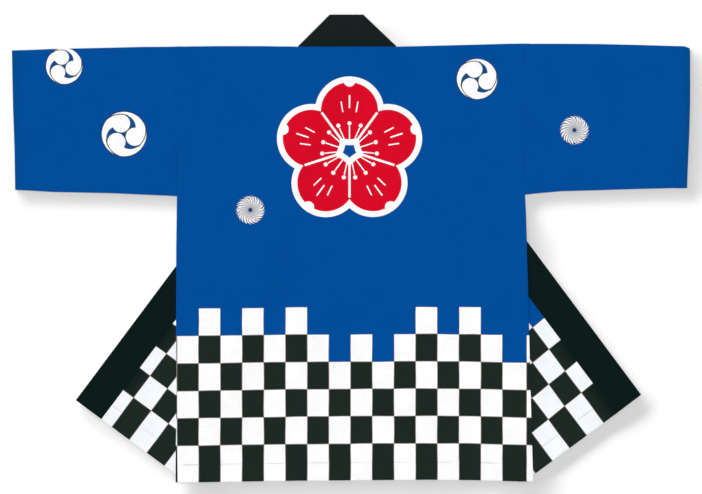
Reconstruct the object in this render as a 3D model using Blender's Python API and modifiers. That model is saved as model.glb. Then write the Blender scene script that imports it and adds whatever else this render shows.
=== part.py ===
"""A happi coat laid flat with its back up, built from the pieces that are cut and sewn.

Units are metres. +X runs to the right cuff, +Y from the hem to the neck, +Z up from the surface.
Each front is turned under on a slanting crease, so that its lower corner lies out past the side.
The collar band is one strip: it stands above the shoulders, turns under at 45 degrees on both
sides, runs down the fronts and turns under with them. The back lies over all of this.
"""
import math
from collections import namedtuple

import bmesh
import bpy
from mathutils import Vector

# Cloth
CLOTH = 0.0012            # printed cotton, one layer
BAND = 0.0020             # collar band, cloth folded over a core
GAP = 0.0003              # clearance at seams and between layers
BEND_STEPS = 10           # facets round each fold
SOFT_STEPS = 4            # facets across each soft rise

# Coat, spread out
NECK_CENTRE = -0.0070     # the neck lies a little to the left of the middle of the span
NECK_WIDTH = 0.1850
NECK_LINE = 0.3782        # where the back meets the collar band
BAND_WIDTH = 0.0600
SNIP = 0.0034             # clearance cut from the back at the two corners of the neck

# Folded fronts
CREASE_LEFT_TOP = 0.3525      # height of the crease on the band's free edge
CREASE_RIGHT_TOP = 0.4155
CREASE_LEFT_ANGLE = 18.285    # degrees from the vertical
CREASE_RIGHT_ANGLE = 18.435

# Levels of the middle of each layer above the surface
FLOOR_LEVEL = CLOTH / 2
CLOTH_DOUBLE = CLOTH + GAP                  # one cloth layer to the next
BAND_DOUBLE = BAND + GAP                    # one band layer to the next
BAND_EXTRA = (BAND - CLOTH) / 2             # how far cloth rises to meet the band at their seam
FRONT_LEVEL = FLOOR_LEVEL + BAND_DOUBLE     # the front, on its own turned corner
NECK_BACK_LEVEL = FRONT_LEVEL + CLOTH_DOUBLE + 2 * BAND_EXTRA
NECK_BAND_LEVEL = FRONT_LEVEL + BAND_DOUBLE + BAND_EXTRA
CREASE_RADIUS = BAND_DOUBLE / 2

# Soft rises, measured across them
RISE_START = 0.0010       # flat cloth kept beyond the edge that it lies on
RISE = 0.0360             # front and back coming down beside the folded corner
SAG_START = 0.0030
SAG = 0.0560              # back coming down to the surface between the creases
BRIDGE = 0.0950           # back hanging from the band below the neck
BLEND_POWER = 4           # how closely the sag follows the higher of its two sides

TAIL = 0.0010             # end of the back, turned under past the shoulder ridge
CUFF_LIFT = 0.0012        # how far the upper layer stands open at the cuff
SLEEVE_RINGS = 10
FLAT_STEPS = 4            # spans across each layer of a sleeve

LEFT = -1
RIGHT = 1

Ridge = namedtuple("Ridge", "x y")
Seam = namedtuple("Seam", "y left right")
Hem = namedtuple("Hem", "x y")
Section = namedtuple("Section", "reach top bottom")
Cuff = namedtuple("Cuff", "y x")

# Shoulder ridge, from the left armhole to the right one
RIDGE = (
    Ridge(x=-0.3270, y=0.3778),
    Ridge(x=-0.0995, y=0.3785),
    Ridge(x=0.0855, y=0.3785),
    Ridge(x=0.1856, y=0.3797),
    Ridge(x=0.3245, y=0.3834),
)
# Side seams, from the hem to the shoulder
SIDES = (
    Seam(y=-0.450, left=-0.3247, right=0.3414),
    Seam(y=-0.155, left=-0.3278, right=0.3334),
    Seam(y=0.005, left=-0.3275, right=0.3281),
    Seam(y=0.098, left=-0.3262, right=0.3244),
    Seam(y=0.390, left=-0.3268, right=0.3234),
)
# Hem of the back
BACK_HEM = (
    Hem(x=-0.3248, y=-0.4384),
    Hem(x=-0.1000, y=-0.4350),
    Hem(x=0.1000, y=-0.4342),
    Hem(x=0.3413, y=-0.4365),
)
# Hems of the fronts, spread out, with the band's end at the free edge
LEFT_HEM = (
    Hem(x=-0.3290, y=-0.4384),
    Hem(x=-0.0395, y=-0.4401),
)
RIGHT_HEM = (
    Hem(x=0.0255, y=-0.4455),
    Hem(x=0.3430, y=-0.4365),
)
# Sleeves: fold and seam lines at each share of the way from the armhole to the cuff
LEFT_SLEEVE = (
    Section(reach=0.00, top=0.3778, bottom=0.1003),
    Section(reach=0.40, top=0.3767, bottom=0.1059),
    Section(reach=0.78, top=0.3733, bottom=0.1078),
    Section(reach=1.00, top=0.3703, bottom=0.1097),
)
RIGHT_SLEEVE = (
    Section(reach=0.00, top=0.3834, bottom=0.1022),
    Section(reach=0.28, top=0.3834, bottom=0.1078),
    Section(reach=0.53, top=0.3826, bottom=0.1097),
    Section(reach=0.77, top=0.3816, bottom=0.1134),
    Section(reach=1.00, top=0.3778, bottom=0.1153),
)
LEFT_CUFF = (
    Cuff(y=0.1097, x=-0.6285),
    Cuff(y=0.3703, x=-0.6356),
)
RIGHT_CUFF = (
    Cuff(y=0.1153, x=0.6272),
    Cuff(y=0.2034, x=0.6319),
    Cuff(y=0.3778, x=0.6356),
)


def blend(start, end, share):
    return start + (end - start) * share


def read(table, key, at, column):
    """Value of a column at a key between the rows of a table, which rise by that key."""
    for low, high in zip(table, table[1:]):
        if at <= getattr(high, key):
            break
    span = getattr(high, key) - getattr(low, key)
    share = (at - getattr(low, key)) / span
    return blend(getattr(low, column), getattr(high, column), share)


def ease(share):
    share = min(1.0, max(0.0, share))
    return share * share * (3 - 2 * share)


def soft(distance, start, width):
    """An eased rise from 0 to 1 in straight facets, one for each of the sheet's cut lines."""
    step = (distance - start) / width * SOFT_STEPS
    step = min(float(SOFT_STEPS), max(0.0, step))
    low = math.floor(step)
    return blend(ease(low / SOFT_STEPS), ease((low + 1) / SOFT_STEPS), step - low)


def soft_steps(start, width):
    return [start + width * step / SOFT_STEPS for step in range(SOFT_STEPS + 1)]


class Line:
    """A straight line in plan; reach() is the distance to the side that its normal points to."""

    def __init__(self, point, normal):
        self.point = Vector(point)
        self.normal = Vector(normal).normalized()

    def reach(self, point):
        return (point.xy - self.point).dot(self.normal)

    def shifted(self, distances):
        """Lines parallel to this one, each moved a distance along its normal."""
        return [Line(self.point + self.normal * distance, self.normal) for distance in distances]

    def mirrored(self, other):
        """This line as it lies before the cloth is folded on the other line."""
        point = self.point - 2 * other.reach(self.point) * other.normal
        normal = self.normal - 2 * self.normal.dot(other.normal) * other.normal
        return Line(point, normal)


class Fold(Line):
    """A line that cloth turns under on, half a turn round a cylinder below the cloth."""

    def __init__(self, point, normal, radius):
        super().__init__(point, normal)
        self.radius = radius
        self.arc = math.pi * radius

    def facets(self):
        return self.shifted(self.arc * (step / BEND_STEPS - 0.5) for step in range(BEND_STEPS + 1))

    def passed(self, point):
        return self.reach(point) >= self.arc / 2 - 1e-7

    def bend(self, point, level=0.0):
        """Where a point of the slab goes, for a slab whose middle is at a level."""
        reach = self.reach(point)
        if reach <= -self.arc / 2:
            return point.copy()
        turn = min(math.pi, (reach + self.arc / 2) / self.radius)
        beyond = max(0.0, reach - self.arc / 2)
        arm = self.radius + point.z - level
        out = arm * math.sin(turn) - self.arc / 2 - beyond
        flat = point.xy + self.normal * (out - reach)
        return Vector((flat.x, flat.y, level - self.radius + arm * math.cos(turn)))


class Stack:
    """One folded front with its stretch of band: the lines and levels that its layers share."""

    def __init__(self, side, crease_top, crease_angle, hem):
        self.side = side
        self.hem = hem
        self.seam = NECK_CENTRE + side * NECK_WIDTH / 2
        self.free = self.seam - side * BAND_WIDTH
        angle = math.radians(crease_angle)
        top = Vector((self.free, crease_top))
        self.crease = Fold(top, (-side * math.cos(angle), -math.sin(angle)), CREASE_RADIUS)
        self.mitre = Fold((self.seam, NECK_LINE), (side, 1.0), CREASE_RADIUS)
        self.band_seam = Line((self.seam, 0.0), (side, 0.0))
        self.corner_edge = Line(top, (side * math.cos(2 * angle), math.sin(2 * angle)))
        drop = BAND_WIDTH / math.tan(2 * angle)
        knee = (self.seam, crease_top - drop)
        self.knee = Line(knee, self.band_seam.normal - self.corner_edge.normal)

    def beside_band(self, point):
        """1 on the band and its seam, easing to 0 out on the cloth."""
        return 1 - soft(self.band_seam.reach(point), RISE_START, RISE)

    def beside_corner(self, point):
        return 1 - soft(self.corner_edge.reach(point), RISE_START, RISE)

    def front_level(self, point):
        """Middle of the front where it isn't turned under."""
        band = self.beside_band(point)
        held = max(band, self.beside_corner(point))
        return FLOOR_LEVEL + BAND_DOUBLE * held + BAND_EXTRA * band

    def back_level(self, point):
        """Middle of the back where it lies on this front or its band."""
        return self.front_level(point) + CLOTH_DOUBLE + BAND_EXTRA * self.beside_band(point)

    def side_edge(self, y):
        return read(SIDES, "y", y, "left" if self.side == LEFT else "right")

    def rise_lines(self):
        steps = soft_steps(RISE_START, RISE)
        return [*self.band_seam.shifted(steps), *self.corner_edge.shifted(steps), self.knee]


STACKS = (
    Stack(LEFT, CREASE_LEFT_TOP, CREASE_LEFT_ANGLE, LEFT_HEM),
    Stack(RIGHT, CREASE_RIGHT_TOP, CREASE_RIGHT_ANGLE, RIGHT_HEM),
)


def nearer_stack(point):
    return STACKS[0] if point.x < NECK_CENTRE else STACKS[1]


def sheet(points):
    """One flat face in plan, from its outline."""
    mesh = bmesh.new()
    mesh.faces.new([mesh.verts.new((x, y, 0.0)) for x, y in points])
    mesh.normal_update()
    if mesh.faces[:][0].normal.z < 0:
        bmesh.ops.reverse_faces(mesh, faces=mesh.faces[:])
    return mesh


def cut(mesh, lines, where=None):
    """Cuts the faces along each line, or only those whose middle is in the wanted part."""
    for line in lines:
        faces = [face for face in mesh.faces if where is None or where(face.calc_center_median())]
        edges = {edge for face in faces for edge in face.edges}
        verts = {vert for face in faces for vert in face.verts}
        bmesh.ops.bisect_plane(mesh, geom=[*faces, *edges, *verts], dist=1e-6,
                               plane_co=(*line.point, 0.0), plane_no=(*line.normal, 0.0))


def wall(name, mesh, thickness, place, material, parts):
    """Thickens a flat sheet evenly about its middle and sets every point in its place."""
    bmesh.ops.remove_doubles(mesh, verts=mesh.verts[:], dist=5e-5)
    bmesh.ops.triangulate(mesh, faces=mesh.faces[:])
    bmesh.ops.solidify(mesh, geom=mesh.faces[:], thickness=thickness)
    low = min(vert.co.z for vert in mesh.verts)
    for vert in mesh.verts:
        vert.co.z -= low + thickness / 2
    bmesh.ops.recalc_face_normals(mesh, faces=mesh.faces[:])
    for vert in mesh.verts:
        vert.co = place(vert.co)
    add_object(name, mesh, material, parts)


def add_object(name, mesh, material, parts):
    data = bpy.data.meshes.new(name)
    mesh.to_mesh(data)
    mesh.free()
    data.materials.append(material)
    part = bpy.data.objects.new(name, data)
    parts.objects.link(part)
    return part


def finish(name, red, green, blue, roughness):
    """A dyed cotton; the colour is linear."""
    material = bpy.data.materials.new(name)
    material.use_nodes = True
    shader = material.node_tree.nodes["Principled BSDF"]
    shader.inputs["Base Color"].default_value = (red, green, blue, 1.0)
    shader.inputs["Roughness"].default_value = roughness
    shader.inputs["Metallic"].default_value = 0.0
    return material


def roll_radius(stack, point):
    """Half the height from the front to the back at the shoulder ridge."""
    return (stack.back_level(point) - stack.front_level(point)) / 2


def roll_start(stack, x):
    """Where the back begins to turn down at the shoulder."""
    ridge = read(RIDGE, "x", x, "y")
    radius = roll_radius(stack, Vector((x, ridge)))
    return ridge - radius - CLOTH / 2


def back_level(point):
    """Middle of the back: on the folded fronts, sagging between them, hung from the neck."""
    lift = 0.0
    for stack in STACKS:
        beyond = soft(stack.crease.reach(point), SAG_START, SAG)
        height = (stack.back_level(point) - FLOOR_LEVEL) * (1 - beyond)
        lift += height ** BLEND_POWER
    sagged = FLOOR_LEVEL + lift ** (1 / BLEND_POWER)
    hung = 1 - soft(NECK_LINE - point.y, 0.0, BRIDGE)
    left, right = STACKS
    if left.seam < point.x < right.seam:
        sagged = blend(sagged, NECK_BACK_LEVEL, hung)
    return sagged


def back_place(point):
    """Sets a point of the back on its layer, or on the roll over the shoulder ridge."""
    stack = nearer_stack(point)
    on_shoulder = (point.x - stack.seam) * stack.side > 0
    start = roll_start(stack, point.x) if on_shoulder else math.inf
    past = point.y - start
    if past <= 1e-7:
        return Vector((point.x, point.y, back_level(point) + point.z))
    ridge = Vector((point.x, start, 0.0))
    radius = roll_radius(stack, ridge)
    turn = min(math.pi, past / radius)
    arm = radius + point.z
    y = start + arm * math.sin(turn) - max(0.0, past - math.pi * radius)
    z = back_level(ridge) - radius + arm * math.cos(turn)
    return Vector((point.x, y, z))


def shoulder_columns(stack):
    """Where the shoulder edge of a layer needs a point, from the armhole to the neck."""
    steps = reversed(soft_steps(RISE_START, RISE))
    inner = [stack.seam + stack.side * step for step in steps]
    ridge = [row.x for row in RIDGE[1:-1] if (row.x - inner[0]) * stack.side > 0]
    return [stack.side_edge(RIDGE[0].y), *ridge, *inner]


def back_outline():
    """Anticlockwise from the left end of the hem; the shoulders stop where the roll starts."""
    left, right = STACKS
    points = [(hem.x, hem.y) for hem in BACK_HEM]
    points += [(seam.right, seam.y) for seam in SIDES[1:-1]]
    points += [(x, roll_start(right, x)) for x in shoulder_columns(right)]
    points += [(right.seam + RISE_START, NECK_LINE - SNIP), (right.seam - SNIP, NECK_LINE - GAP)]
    points += [(left.seam + SNIP, NECK_LINE - GAP), (left.seam - RISE_START, NECK_LINE - SNIP)]
    points += [(x, roll_start(left, x)) for x in reversed(shoulder_columns(left))]
    points += [(seam.left, seam.y) for seam in reversed(SIDES[1:-1])]
    return points


def turn_shoulders(mesh):
    """Extrudes the shoulder edges of the back in steps, for the roll over the ridge."""
    for stack in STACKS:
        edges = [edge for edge in mesh.edges if edge.is_boundary
                 and all(abs(vert.co.y - roll_start(stack, vert.co.x)) < 1e-6
                         and (vert.co.x - stack.seam) * stack.side > 0 for vert in edge.verts)]
        for step in range(1, BEND_STEPS + 2):
            grown = bmesh.ops.extrude_edge_only(mesh, edges=edges)["geom"]
            for vert in [item for item in grown if isinstance(item, bmesh.types.BMVert)]:
                radius = roll_radius(stack, vert.co)
                start = roll_start(stack, vert.co.x)
                vert.co.y = start + math.pi * radius * min(step, BEND_STEPS) / BEND_STEPS
                if step > BEND_STEPS:
                    vert.co.y += TAIL
            edges = [item for item in grown if isinstance(item, bmesh.types.BMEdge)]


def make_back(material, parts):
    mesh = sheet(back_outline())
    for stack in STACKS:
        cut(mesh, stack.crease.shifted(soft_steps(SAG_START, SAG)))
    for stack in STACKS:
        def unfolded(point, stack=stack):
            return stack.crease.reach(point) < SAG_START and point.x * stack.side > 0
        cut(mesh, [stack.band_seam, *stack.rise_lines()], unfolded)
    neck = Line((0.0, NECK_LINE), (0.0, -1.0))
    cut(mesh, neck.shifted(soft_steps(0.0, BRIDGE)[1:]),
        lambda point: STACKS[0].seam < point.x < STACKS[1].seam)
    turn_shoulders(mesh)
    wall("back", mesh, CLOTH, back_place, material, parts)


def front_place(stack, point):
    """Turns a point of a front under on the crease, or sets it on its layer."""
    placed = stack.crease.bend(point)
    if stack.crease.reach(point) < -stack.crease.arc / 2:
        placed.z += stack.front_level(point)
    else:
        placed.z += FRONT_LEVEL + BAND_EXTRA * stack.beside_band(point)
    return placed


def front_outline(stack):
    """From the hem at the band, round the side seam and the shoulder."""
    seam = stack.seam + stack.side * GAP / 2
    side_low = stack.side_edge(BACK_HEM[0].y)
    points = [(x, read(stack.hem, "x", x, "y")) for x in (seam, side_low)]
    points += [(stack.side_edge(row.y), row.y) for row in SIDES[1:-1]]
    points += [(x, roll_start(stack, x) - TAIL - GAP) for x in [*shoulder_columns(stack), seam]]
    return points


def make_front(stack, name, material, parts):
    mesh = sheet(front_outline(stack))
    cut(mesh, stack.crease.facets())
    cut(mesh, stack.band_seam.shifted(soft_steps(RISE_START, RISE)))
    cut(mesh, stack.rise_lines(), lambda point: stack.crease.reach(point) < 0)
    wall(name, mesh, CLOTH, lambda point: front_place(stack, point), material, parts)


def band_place(point):
    """Folds the straight strip: first at the neck's two corners, then with the fronts."""
    stack = nearer_stack(point)
    placed = stack.mitre.bend(point)
    if stack.mitre.passed(point):
        placed = stack.crease.bend(placed, level=-BAND_DOUBLE)
    placed.z += NECK_BAND_LEVEL
    return placed


def strip_end(stack, down_x):
    """A point of a front's hem as it lies on the straight strip, before the neck is folded."""
    point = Vector((down_x, read(stack.hem, "x", down_x, "y")))
    return tuple(point - 2 * stack.mitre.reach(point) * stack.mitre.normal)


def make_band(material, parts):
    outline = []
    for stack in STACKS:
        sewn = strip_end(stack, stack.seam - stack.side * GAP / 2)
        free = strip_end(stack, stack.free)
        outline += [free, sewn] if stack.side == LEFT else [sewn, free]
    mesh = sheet(outline)
    for stack in STACKS:
        cut(mesh, stack.mitre.facets())
        creases = [line.mirrored(stack.mitre) for line in stack.crease.facets()]
        cut(mesh, creases, stack.mitre.passed)
    wall("collar_band", mesh, BAND, band_place, material, parts)


def ring_point(share, top, bottom, radius):
    """Height and level round a flattened tube: lower layer, fold, upper layer, seam."""
    spans = 2 * FLAT_STEPS + 2 * BEND_STEPS
    step = round(share * spans)
    high = top - radius - CLOTH / 2
    low = bottom + radius + CLOTH / 2
    if step <= FLAT_STEPS:
        return blend(low, high, step / FLAT_STEPS), 0.0
    step -= FLAT_STEPS
    if step <= BEND_STEPS:
        turn = math.pi * step / BEND_STEPS
        return high + radius * math.sin(turn), radius * (1 - math.cos(turn))
    step -= BEND_STEPS
    if step <= FLAT_STEPS:
        return blend(high, low, step / FLAT_STEPS), 2 * radius
    turn = math.pi * (step - FLAT_STEPS) / BEND_STEPS
    return low - radius * math.sin(turn), radius * (1 + math.cos(turn))


def make_sleeve(stack, name, sections, cuff, material, parts):
    """A tube primitive whose rings are flattened and set between the armhole and the cuff."""
    around = 2 * FLAT_STEPS + 2 * BEND_STEPS
    mesh = bmesh.new()
    bmesh.ops.create_cone(mesh, cap_ends=False, segments=around, radius1=1.0, radius2=1.0,
                          depth=1.0)
    for step in range(1, SLEEVE_RINGS):
        bmesh.ops.bisect_plane(mesh, geom=[*mesh.faces, *mesh.edges, *mesh.verts], dist=1e-6,
                               plane_co=(0.0, 0.0, step / SLEEVE_RINGS - 0.5),
                               plane_no=(0.0, 0.0, 1.0))
    for vert in mesh.verts:
        reach = vert.co.z + 0.5
        share = (math.atan2(vert.co.y, vert.co.x) / math.tau) % 1.0
        top = read(sections, "reach", reach, "top")
        bottom = read(sections, "reach", reach, "bottom")
        y, rise = ring_point(share, top, bottom, CLOTH_DOUBLE / 2)
        middle = 1 - ((2 * y - top - bottom) / (top - bottom)) ** 2
        rise += CUFF_LIFT * rise / CLOTH_DOUBLE * max(0.0, middle) * ease(reach)
        armhole = stack.side_edge(y) + stack.side * GAP
        vert.co = (blend(armhole, read(cuff, "y", y, "x"), reach), y, FLOOR_LEVEL + rise)
    bmesh.ops.recalc_face_normals(mesh, faces=mesh.faces[:])
    part = add_object(name, mesh, material, parts)
    shell = part.modifiers.new("Cloth", "SOLIDIFY")
    shell.thickness = CLOTH
    shell.offset = 0.0
    shell.use_even_offset = True


def main():
    for old in list(bpy.data.objects):
        bpy.data.objects.remove(old)
    parts = bpy.data.collections.new("happi_coat")
    bpy.context.scene.collection.children.link(parts)
    left, right = STACKS
    make_back(finish("back cotton", 0.0, 0.074, 0.328, 0.85), parts)
    make_front(left, "front_left", finish("left front cotton", 0.0, 0.074, 0.328, 0.85), parts)
    make_front(right, "front_right", finish("right front cotton", 0.0, 0.074, 0.328, 0.85), parts)
    make_sleeve(left, "sleeve_left", LEFT_SLEEVE, LEFT_CUFF,
                finish("left sleeve cotton", 0.0, 0.074, 0.314, 0.85), parts)
    make_sleeve(right, "sleeve_right", RIGHT_SLEEVE, RIGHT_CUFF,
                finish("right sleeve cotton", 0.0, 0.074, 0.314, 0.85), parts)
    make_band(finish("collar band cotton", 0.008, 0.012, 0.013, 0.8), parts)


main()
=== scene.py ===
# %% [markdown]
# # A happi coat laid flat
# A happi is a short festival coat of printed cotton: a back, two fronts, two straight sleeves
# and one long band that edges the neck and both fronts. This one lies on its fronts with the
# back up, and the lower corner of each front is turned out from under the back. The cells below
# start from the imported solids, lay a fine sheet of cloth over each one, print it and sew it.

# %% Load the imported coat
import math
from collections import namedtuple
from contextlib import contextmanager
from functools import partial

import bmesh
import bpy
from mathutils import Matrix, Vector, noise


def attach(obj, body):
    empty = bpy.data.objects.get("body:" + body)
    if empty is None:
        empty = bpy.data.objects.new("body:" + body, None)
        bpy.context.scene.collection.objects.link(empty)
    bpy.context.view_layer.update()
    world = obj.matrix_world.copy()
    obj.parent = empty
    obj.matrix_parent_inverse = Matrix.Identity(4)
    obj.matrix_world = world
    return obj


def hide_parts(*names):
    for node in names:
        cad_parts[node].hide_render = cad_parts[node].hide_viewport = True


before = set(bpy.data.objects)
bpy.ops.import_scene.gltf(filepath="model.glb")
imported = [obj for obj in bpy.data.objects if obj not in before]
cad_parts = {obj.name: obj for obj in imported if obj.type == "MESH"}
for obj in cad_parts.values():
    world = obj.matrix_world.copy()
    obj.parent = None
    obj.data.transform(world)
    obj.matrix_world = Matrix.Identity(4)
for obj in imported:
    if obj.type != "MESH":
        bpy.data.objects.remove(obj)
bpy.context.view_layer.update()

print("nodes:", sorted(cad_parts))

# %% [markdown]
# ## The camera
# The coat is seen from straight above. A long lens far away keeps the edges of the coat where a
# plan drawing has them; a short lens would spread the raised layers outwards.

# %% Camera
VIEW = (702, 494)                # pixels
MM_PER_PIXEL = 1.875
MIDDLE_ROW = 248.5               # row of the view that shows y = 0
CAMERA_HEIGHT = 6.0
SENSOR = 36.0


def metres(pixels):
    return pixels * MM_PER_PIXEL / 1000


def at_pixel(column, row):
    """The place on the coat below a pixel of the view, in metres."""
    return metres(column - VIEW[0] / 2), metres(MIDDLE_ROW - row)


bpy.ops.object.camera_add(location=(0.0, metres(MIDDLE_ROW - VIEW[1] / 2), CAMERA_HEIGHT),
                          rotation=(0.0, 0.0, 0.0))
camera = bpy.context.object
camera.name = "camera_above"
camera.data.sensor_width = SENSOR
camera.data.lens = SENSOR * CAMERA_HEIGHT / metres(VIEW[0])
bpy.context.scene.camera = camera
print("lens in mm:", round(camera.data.lens, 1))

# %% [markdown]
# ## Cut and folds
# A happi is cut from straight lengths of cloth, so a few widths and heights give every piece.
# The coat lies folded, and a fold is easier to get right as a rule than by moving points by
# hand: cloth that passes a line turns half round a small cylinder and comes back flat below.
# The sizes and lines are nearly those of the solids, so each sheet lies where its solid does.

# %% Thicknesses, levels and widths, in metres
LAYER = 0.0012            # one layer of cloth with its turnings, as thick as the solid
FIELD = 0.0007            # the same cloth away from hems and seams
BAND = 0.0020             # collar band: cloth folded over a core
SEAM_GAP = 0.0003
TUCK = 0.0010             # a sewn edge runs this far into the band
NECK_CENTRE = -0.0070
NECK_WIDTH = 0.1850
NECK_LINE = 0.3782
BAND_WIDTH = 0.0600
SNIP = 0.0034             # the back is clipped at the two corners of the neck

FLOOR_LEVEL = LAYER / 2   # level of the middle of a layer that lies on the floor
LAYER_STEP = LAYER + SEAM_GAP
BAND_STEP = BAND + SEAM_GAP
BAND_EXTRA = (BAND - LAYER) / 2
FRONT_LEVEL = FLOOR_LEVEL + BAND_STEP
NECK_BACK_LEVEL = FRONT_LEVEL + LAYER_STEP + 2 * BAND_EXTRA
NECK_BAND_LEVEL = FRONT_LEVEL + BAND_STEP + BAND_EXTRA
FOLD_RADIUS = BAND_STEP / 2
print("levels in mm:", [round(level * 1000, 2) for level in (FLOOR_LEVEL, FRONT_LEVEL)])

# %% Outlines of the pieces, in metres
Seam = namedtuple("Seam", "y left right")
Point = namedtuple("Point", "x y")
Section = namedtuple("Section", "reach top bottom")


def table(kind, *rows):
    return [kind(*row) for row in rows]


SHOULDER = table(Point, (-0.327, 0.3788), (-0.245, 0.3797), (-0.17, 0.3797), (-0.0995, 0.3786),
                 (0.0855, 0.3785), (0.148, 0.3802), (0.223, 0.3821), (0.298, 0.3842),
                 (0.3245, 0.3842))
SIDES = table(Seam, (-0.45, -0.3247, 0.342), (-0.37, -0.3256, 0.3394), (-0.267, -0.3267, 0.3366),
              (-0.155, -0.3278, 0.3338), (0.005, -0.3275, 0.3295), (0.063, -0.3267, 0.3281),
              (0.098, -0.3262, 0.3264), (0.39, -0.3268, 0.3234))
BACK_HEM = table(Point, (-0.3248, -0.4386), (-0.266, -0.4378), (-0.1, -0.4352), (0.02, -0.4343),
                 (0.1425, -0.4334), (0.223, -0.4341), (0.342, -0.4369))
FRONT_HEM = {
    "left": table(Point, (-0.329, -0.4384), (-0.301, -0.4384), (-0.274, -0.4418),
                  (-0.0395, -0.4426)),
    "right": table(Point, (0.0255, -0.4456), (0.052, -0.4462), (0.278, -0.446), (0.308, -0.437),
                   (0.343, -0.4362)),
}
SLEEVE = {
    "left": table(Section, (0.0, 0.3786, 0.0981), (0.22, 0.3781, 0.1009), (0.4, 0.3767, 0.1035),
                  (0.77, 0.3742, 0.1058), (1.0, 0.3712, 0.11)),
    "right": table(Section, (0.0, 0.3841, 0.101), (0.22, 0.3841, 0.1071), (0.46, 0.3836, 0.1091),
                   (0.7, 0.3819, 0.1114), (0.88, 0.3802, 0.1127), (0.978, 0.3792, 0.1132),
                   (0.992, 0.3782, 0.1133), (1.0, 0.3757, 0.1133)),
}
CUFF = {
    "left": table(Point, (-0.6295, 0.11), (-0.6305, 0.185), (-0.6335, 0.27), (-0.6356, 0.3712)),
    "right": table(Point, (0.63, 0.1133), (0.631, 0.147), (0.6342, 0.222), (0.6356, 0.278),
                   (0.6356, 0.372), (0.6351, 0.374), (0.6338, 0.3757)),
}
CREASE_TOP = {"left": 0.3533, "right": 0.4230}       # on the band's free edge
CREASE_ANGLE = {"left": 18.38, "right": 18.32}       # degrees from the vertical
TOWARDS = {"left": -1, "right": 1}
print("span at the cuffs in mm:", round((CUFF["right"][3].x - CUFF["left"][3].x) * 1000))


# %% Reading a table and easing
def blend(start, end, share):
    return start + (end - start) * share


def ease(share):
    share = min(1.0, max(0.0, share))
    return share * share * (3 - 2 * share)


def read(rows, key, at, column):
    """Value of one column where another has a value, straight between the rows."""
    for low, high in zip(rows, rows[1:]):
        if at <= getattr(high, key):
            break
    share = (at - getattr(low, key)) / (getattr(high, key) - getattr(low, key))
    return blend(getattr(low, column), getattr(high, column), share)


def height_of(outline, x):
    return read(outline, "x", x, "y")


print("shoulder above the neck's middle, in mm:", round(height_of(SHOULDER, NECK_CENTRE) * 1000, 1))


# %% Lines and folds in plan
class Line:
    """A line in plan, with the distance that a point lies beyond it."""

    def __init__(self, point, normal):
        self.point = Vector(point)
        self.normal = Vector(normal).normalized()

    def reach(self, point):
        return (point.xy - self.point).dot(self.normal)

    def mirrored(self, other):
        point = self.point - 2 * other.reach(self.point) * other.normal
        return Line(point, self.normal - 2 * self.normal.dot(other.normal) * other.normal)


class Fold(Line):
    """A line that cloth turns under on, half a turn round a small cylinder below it."""

    arc = math.pi * FOLD_RADIUS

    def bend(self, point, level=0.0):
        reach = self.reach(point)
        if reach <= -self.arc / 2:
            return point.copy()
        turn = min(math.pi, (reach + self.arc / 2) / FOLD_RADIUS)
        arm = FOLD_RADIUS + point.z - level
        out = arm * math.sin(turn) - self.arc / 2 - max(0.0, reach - self.arc / 2)
        flat = point.xy + self.normal * (out - reach)
        return Vector((*flat, level - FOLD_RADIUS + arm * math.cos(turn)))


print("cloth used up in one fold, in mm:", round(Fold.arc * 1000, 2))

# %% [markdown]
# ## Layers on each side
# On each side the layers lie in this order: the turned corner with its piece of band, the front,
# the band again, and the back on top. Cloth comes down softly beside an edge that it lies over.

# %% Lines and levels of one side
RISE_START, RISE = 0.0010, 0.0360      # cloth coming down beside the band and the turned corner


class FrontSide:
    """The lines that one front, its band and the back above them share."""

    def __init__(self, name):
        self.name = name
        self.side = TOWARDS[name]
        self.hem = FRONT_HEM[name]
        self.seam = NECK_CENTRE + self.side * NECK_WIDTH / 2
        self.free = self.seam - self.side * BAND_WIDTH
        angle = math.radians(CREASE_ANGLE[name])
        top = (self.free, CREASE_TOP[name])
        self.crease = Fold(top, (-self.side * math.cos(angle), -math.sin(angle)))
        self.mitre = Fold((self.seam, NECK_LINE), (self.side, 1.0))
        self.band_seam = Line((self.seam, 0.0), (self.side, 0.0))
        self.corner_edge = Line(top, (self.side * math.cos(2 * angle), math.sin(2 * angle)))

    def beside(self, line, point):
        return 1 - ease((line.reach(point) - RISE_START) / RISE)

    def front_level(self, point):
        band = self.beside(self.band_seam, point)
        held = max(band, self.beside(self.corner_edge, point))
        return FLOOR_LEVEL + BAND_STEP * held + BAND_EXTRA * band

    def back_level(self, point):
        band = self.beside(self.band_seam, point)
        return self.front_level(point) + LAYER_STEP + BAND_EXTRA * band

    def side_edge(self, y):
        return read(SIDES, "y", y, self.name)

    def from_seam(self, point):
        return (point.x - self.seam) * self.side

    def from_centre(self, point):
        return (point.x - NECK_CENTRE) * self.side


def nearer_side(point):
    return LEFT if point.x < NECK_CENTRE else RIGHT


def sides_at(y):
    return LEFT.side_edge(y), RIGHT.side_edge(y)


LEFT, RIGHT = FrontSide("left"), FrontSide("right")
print("neck seams at", round(LEFT.seam, 4), round(RIGHT.seam, 4))
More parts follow.
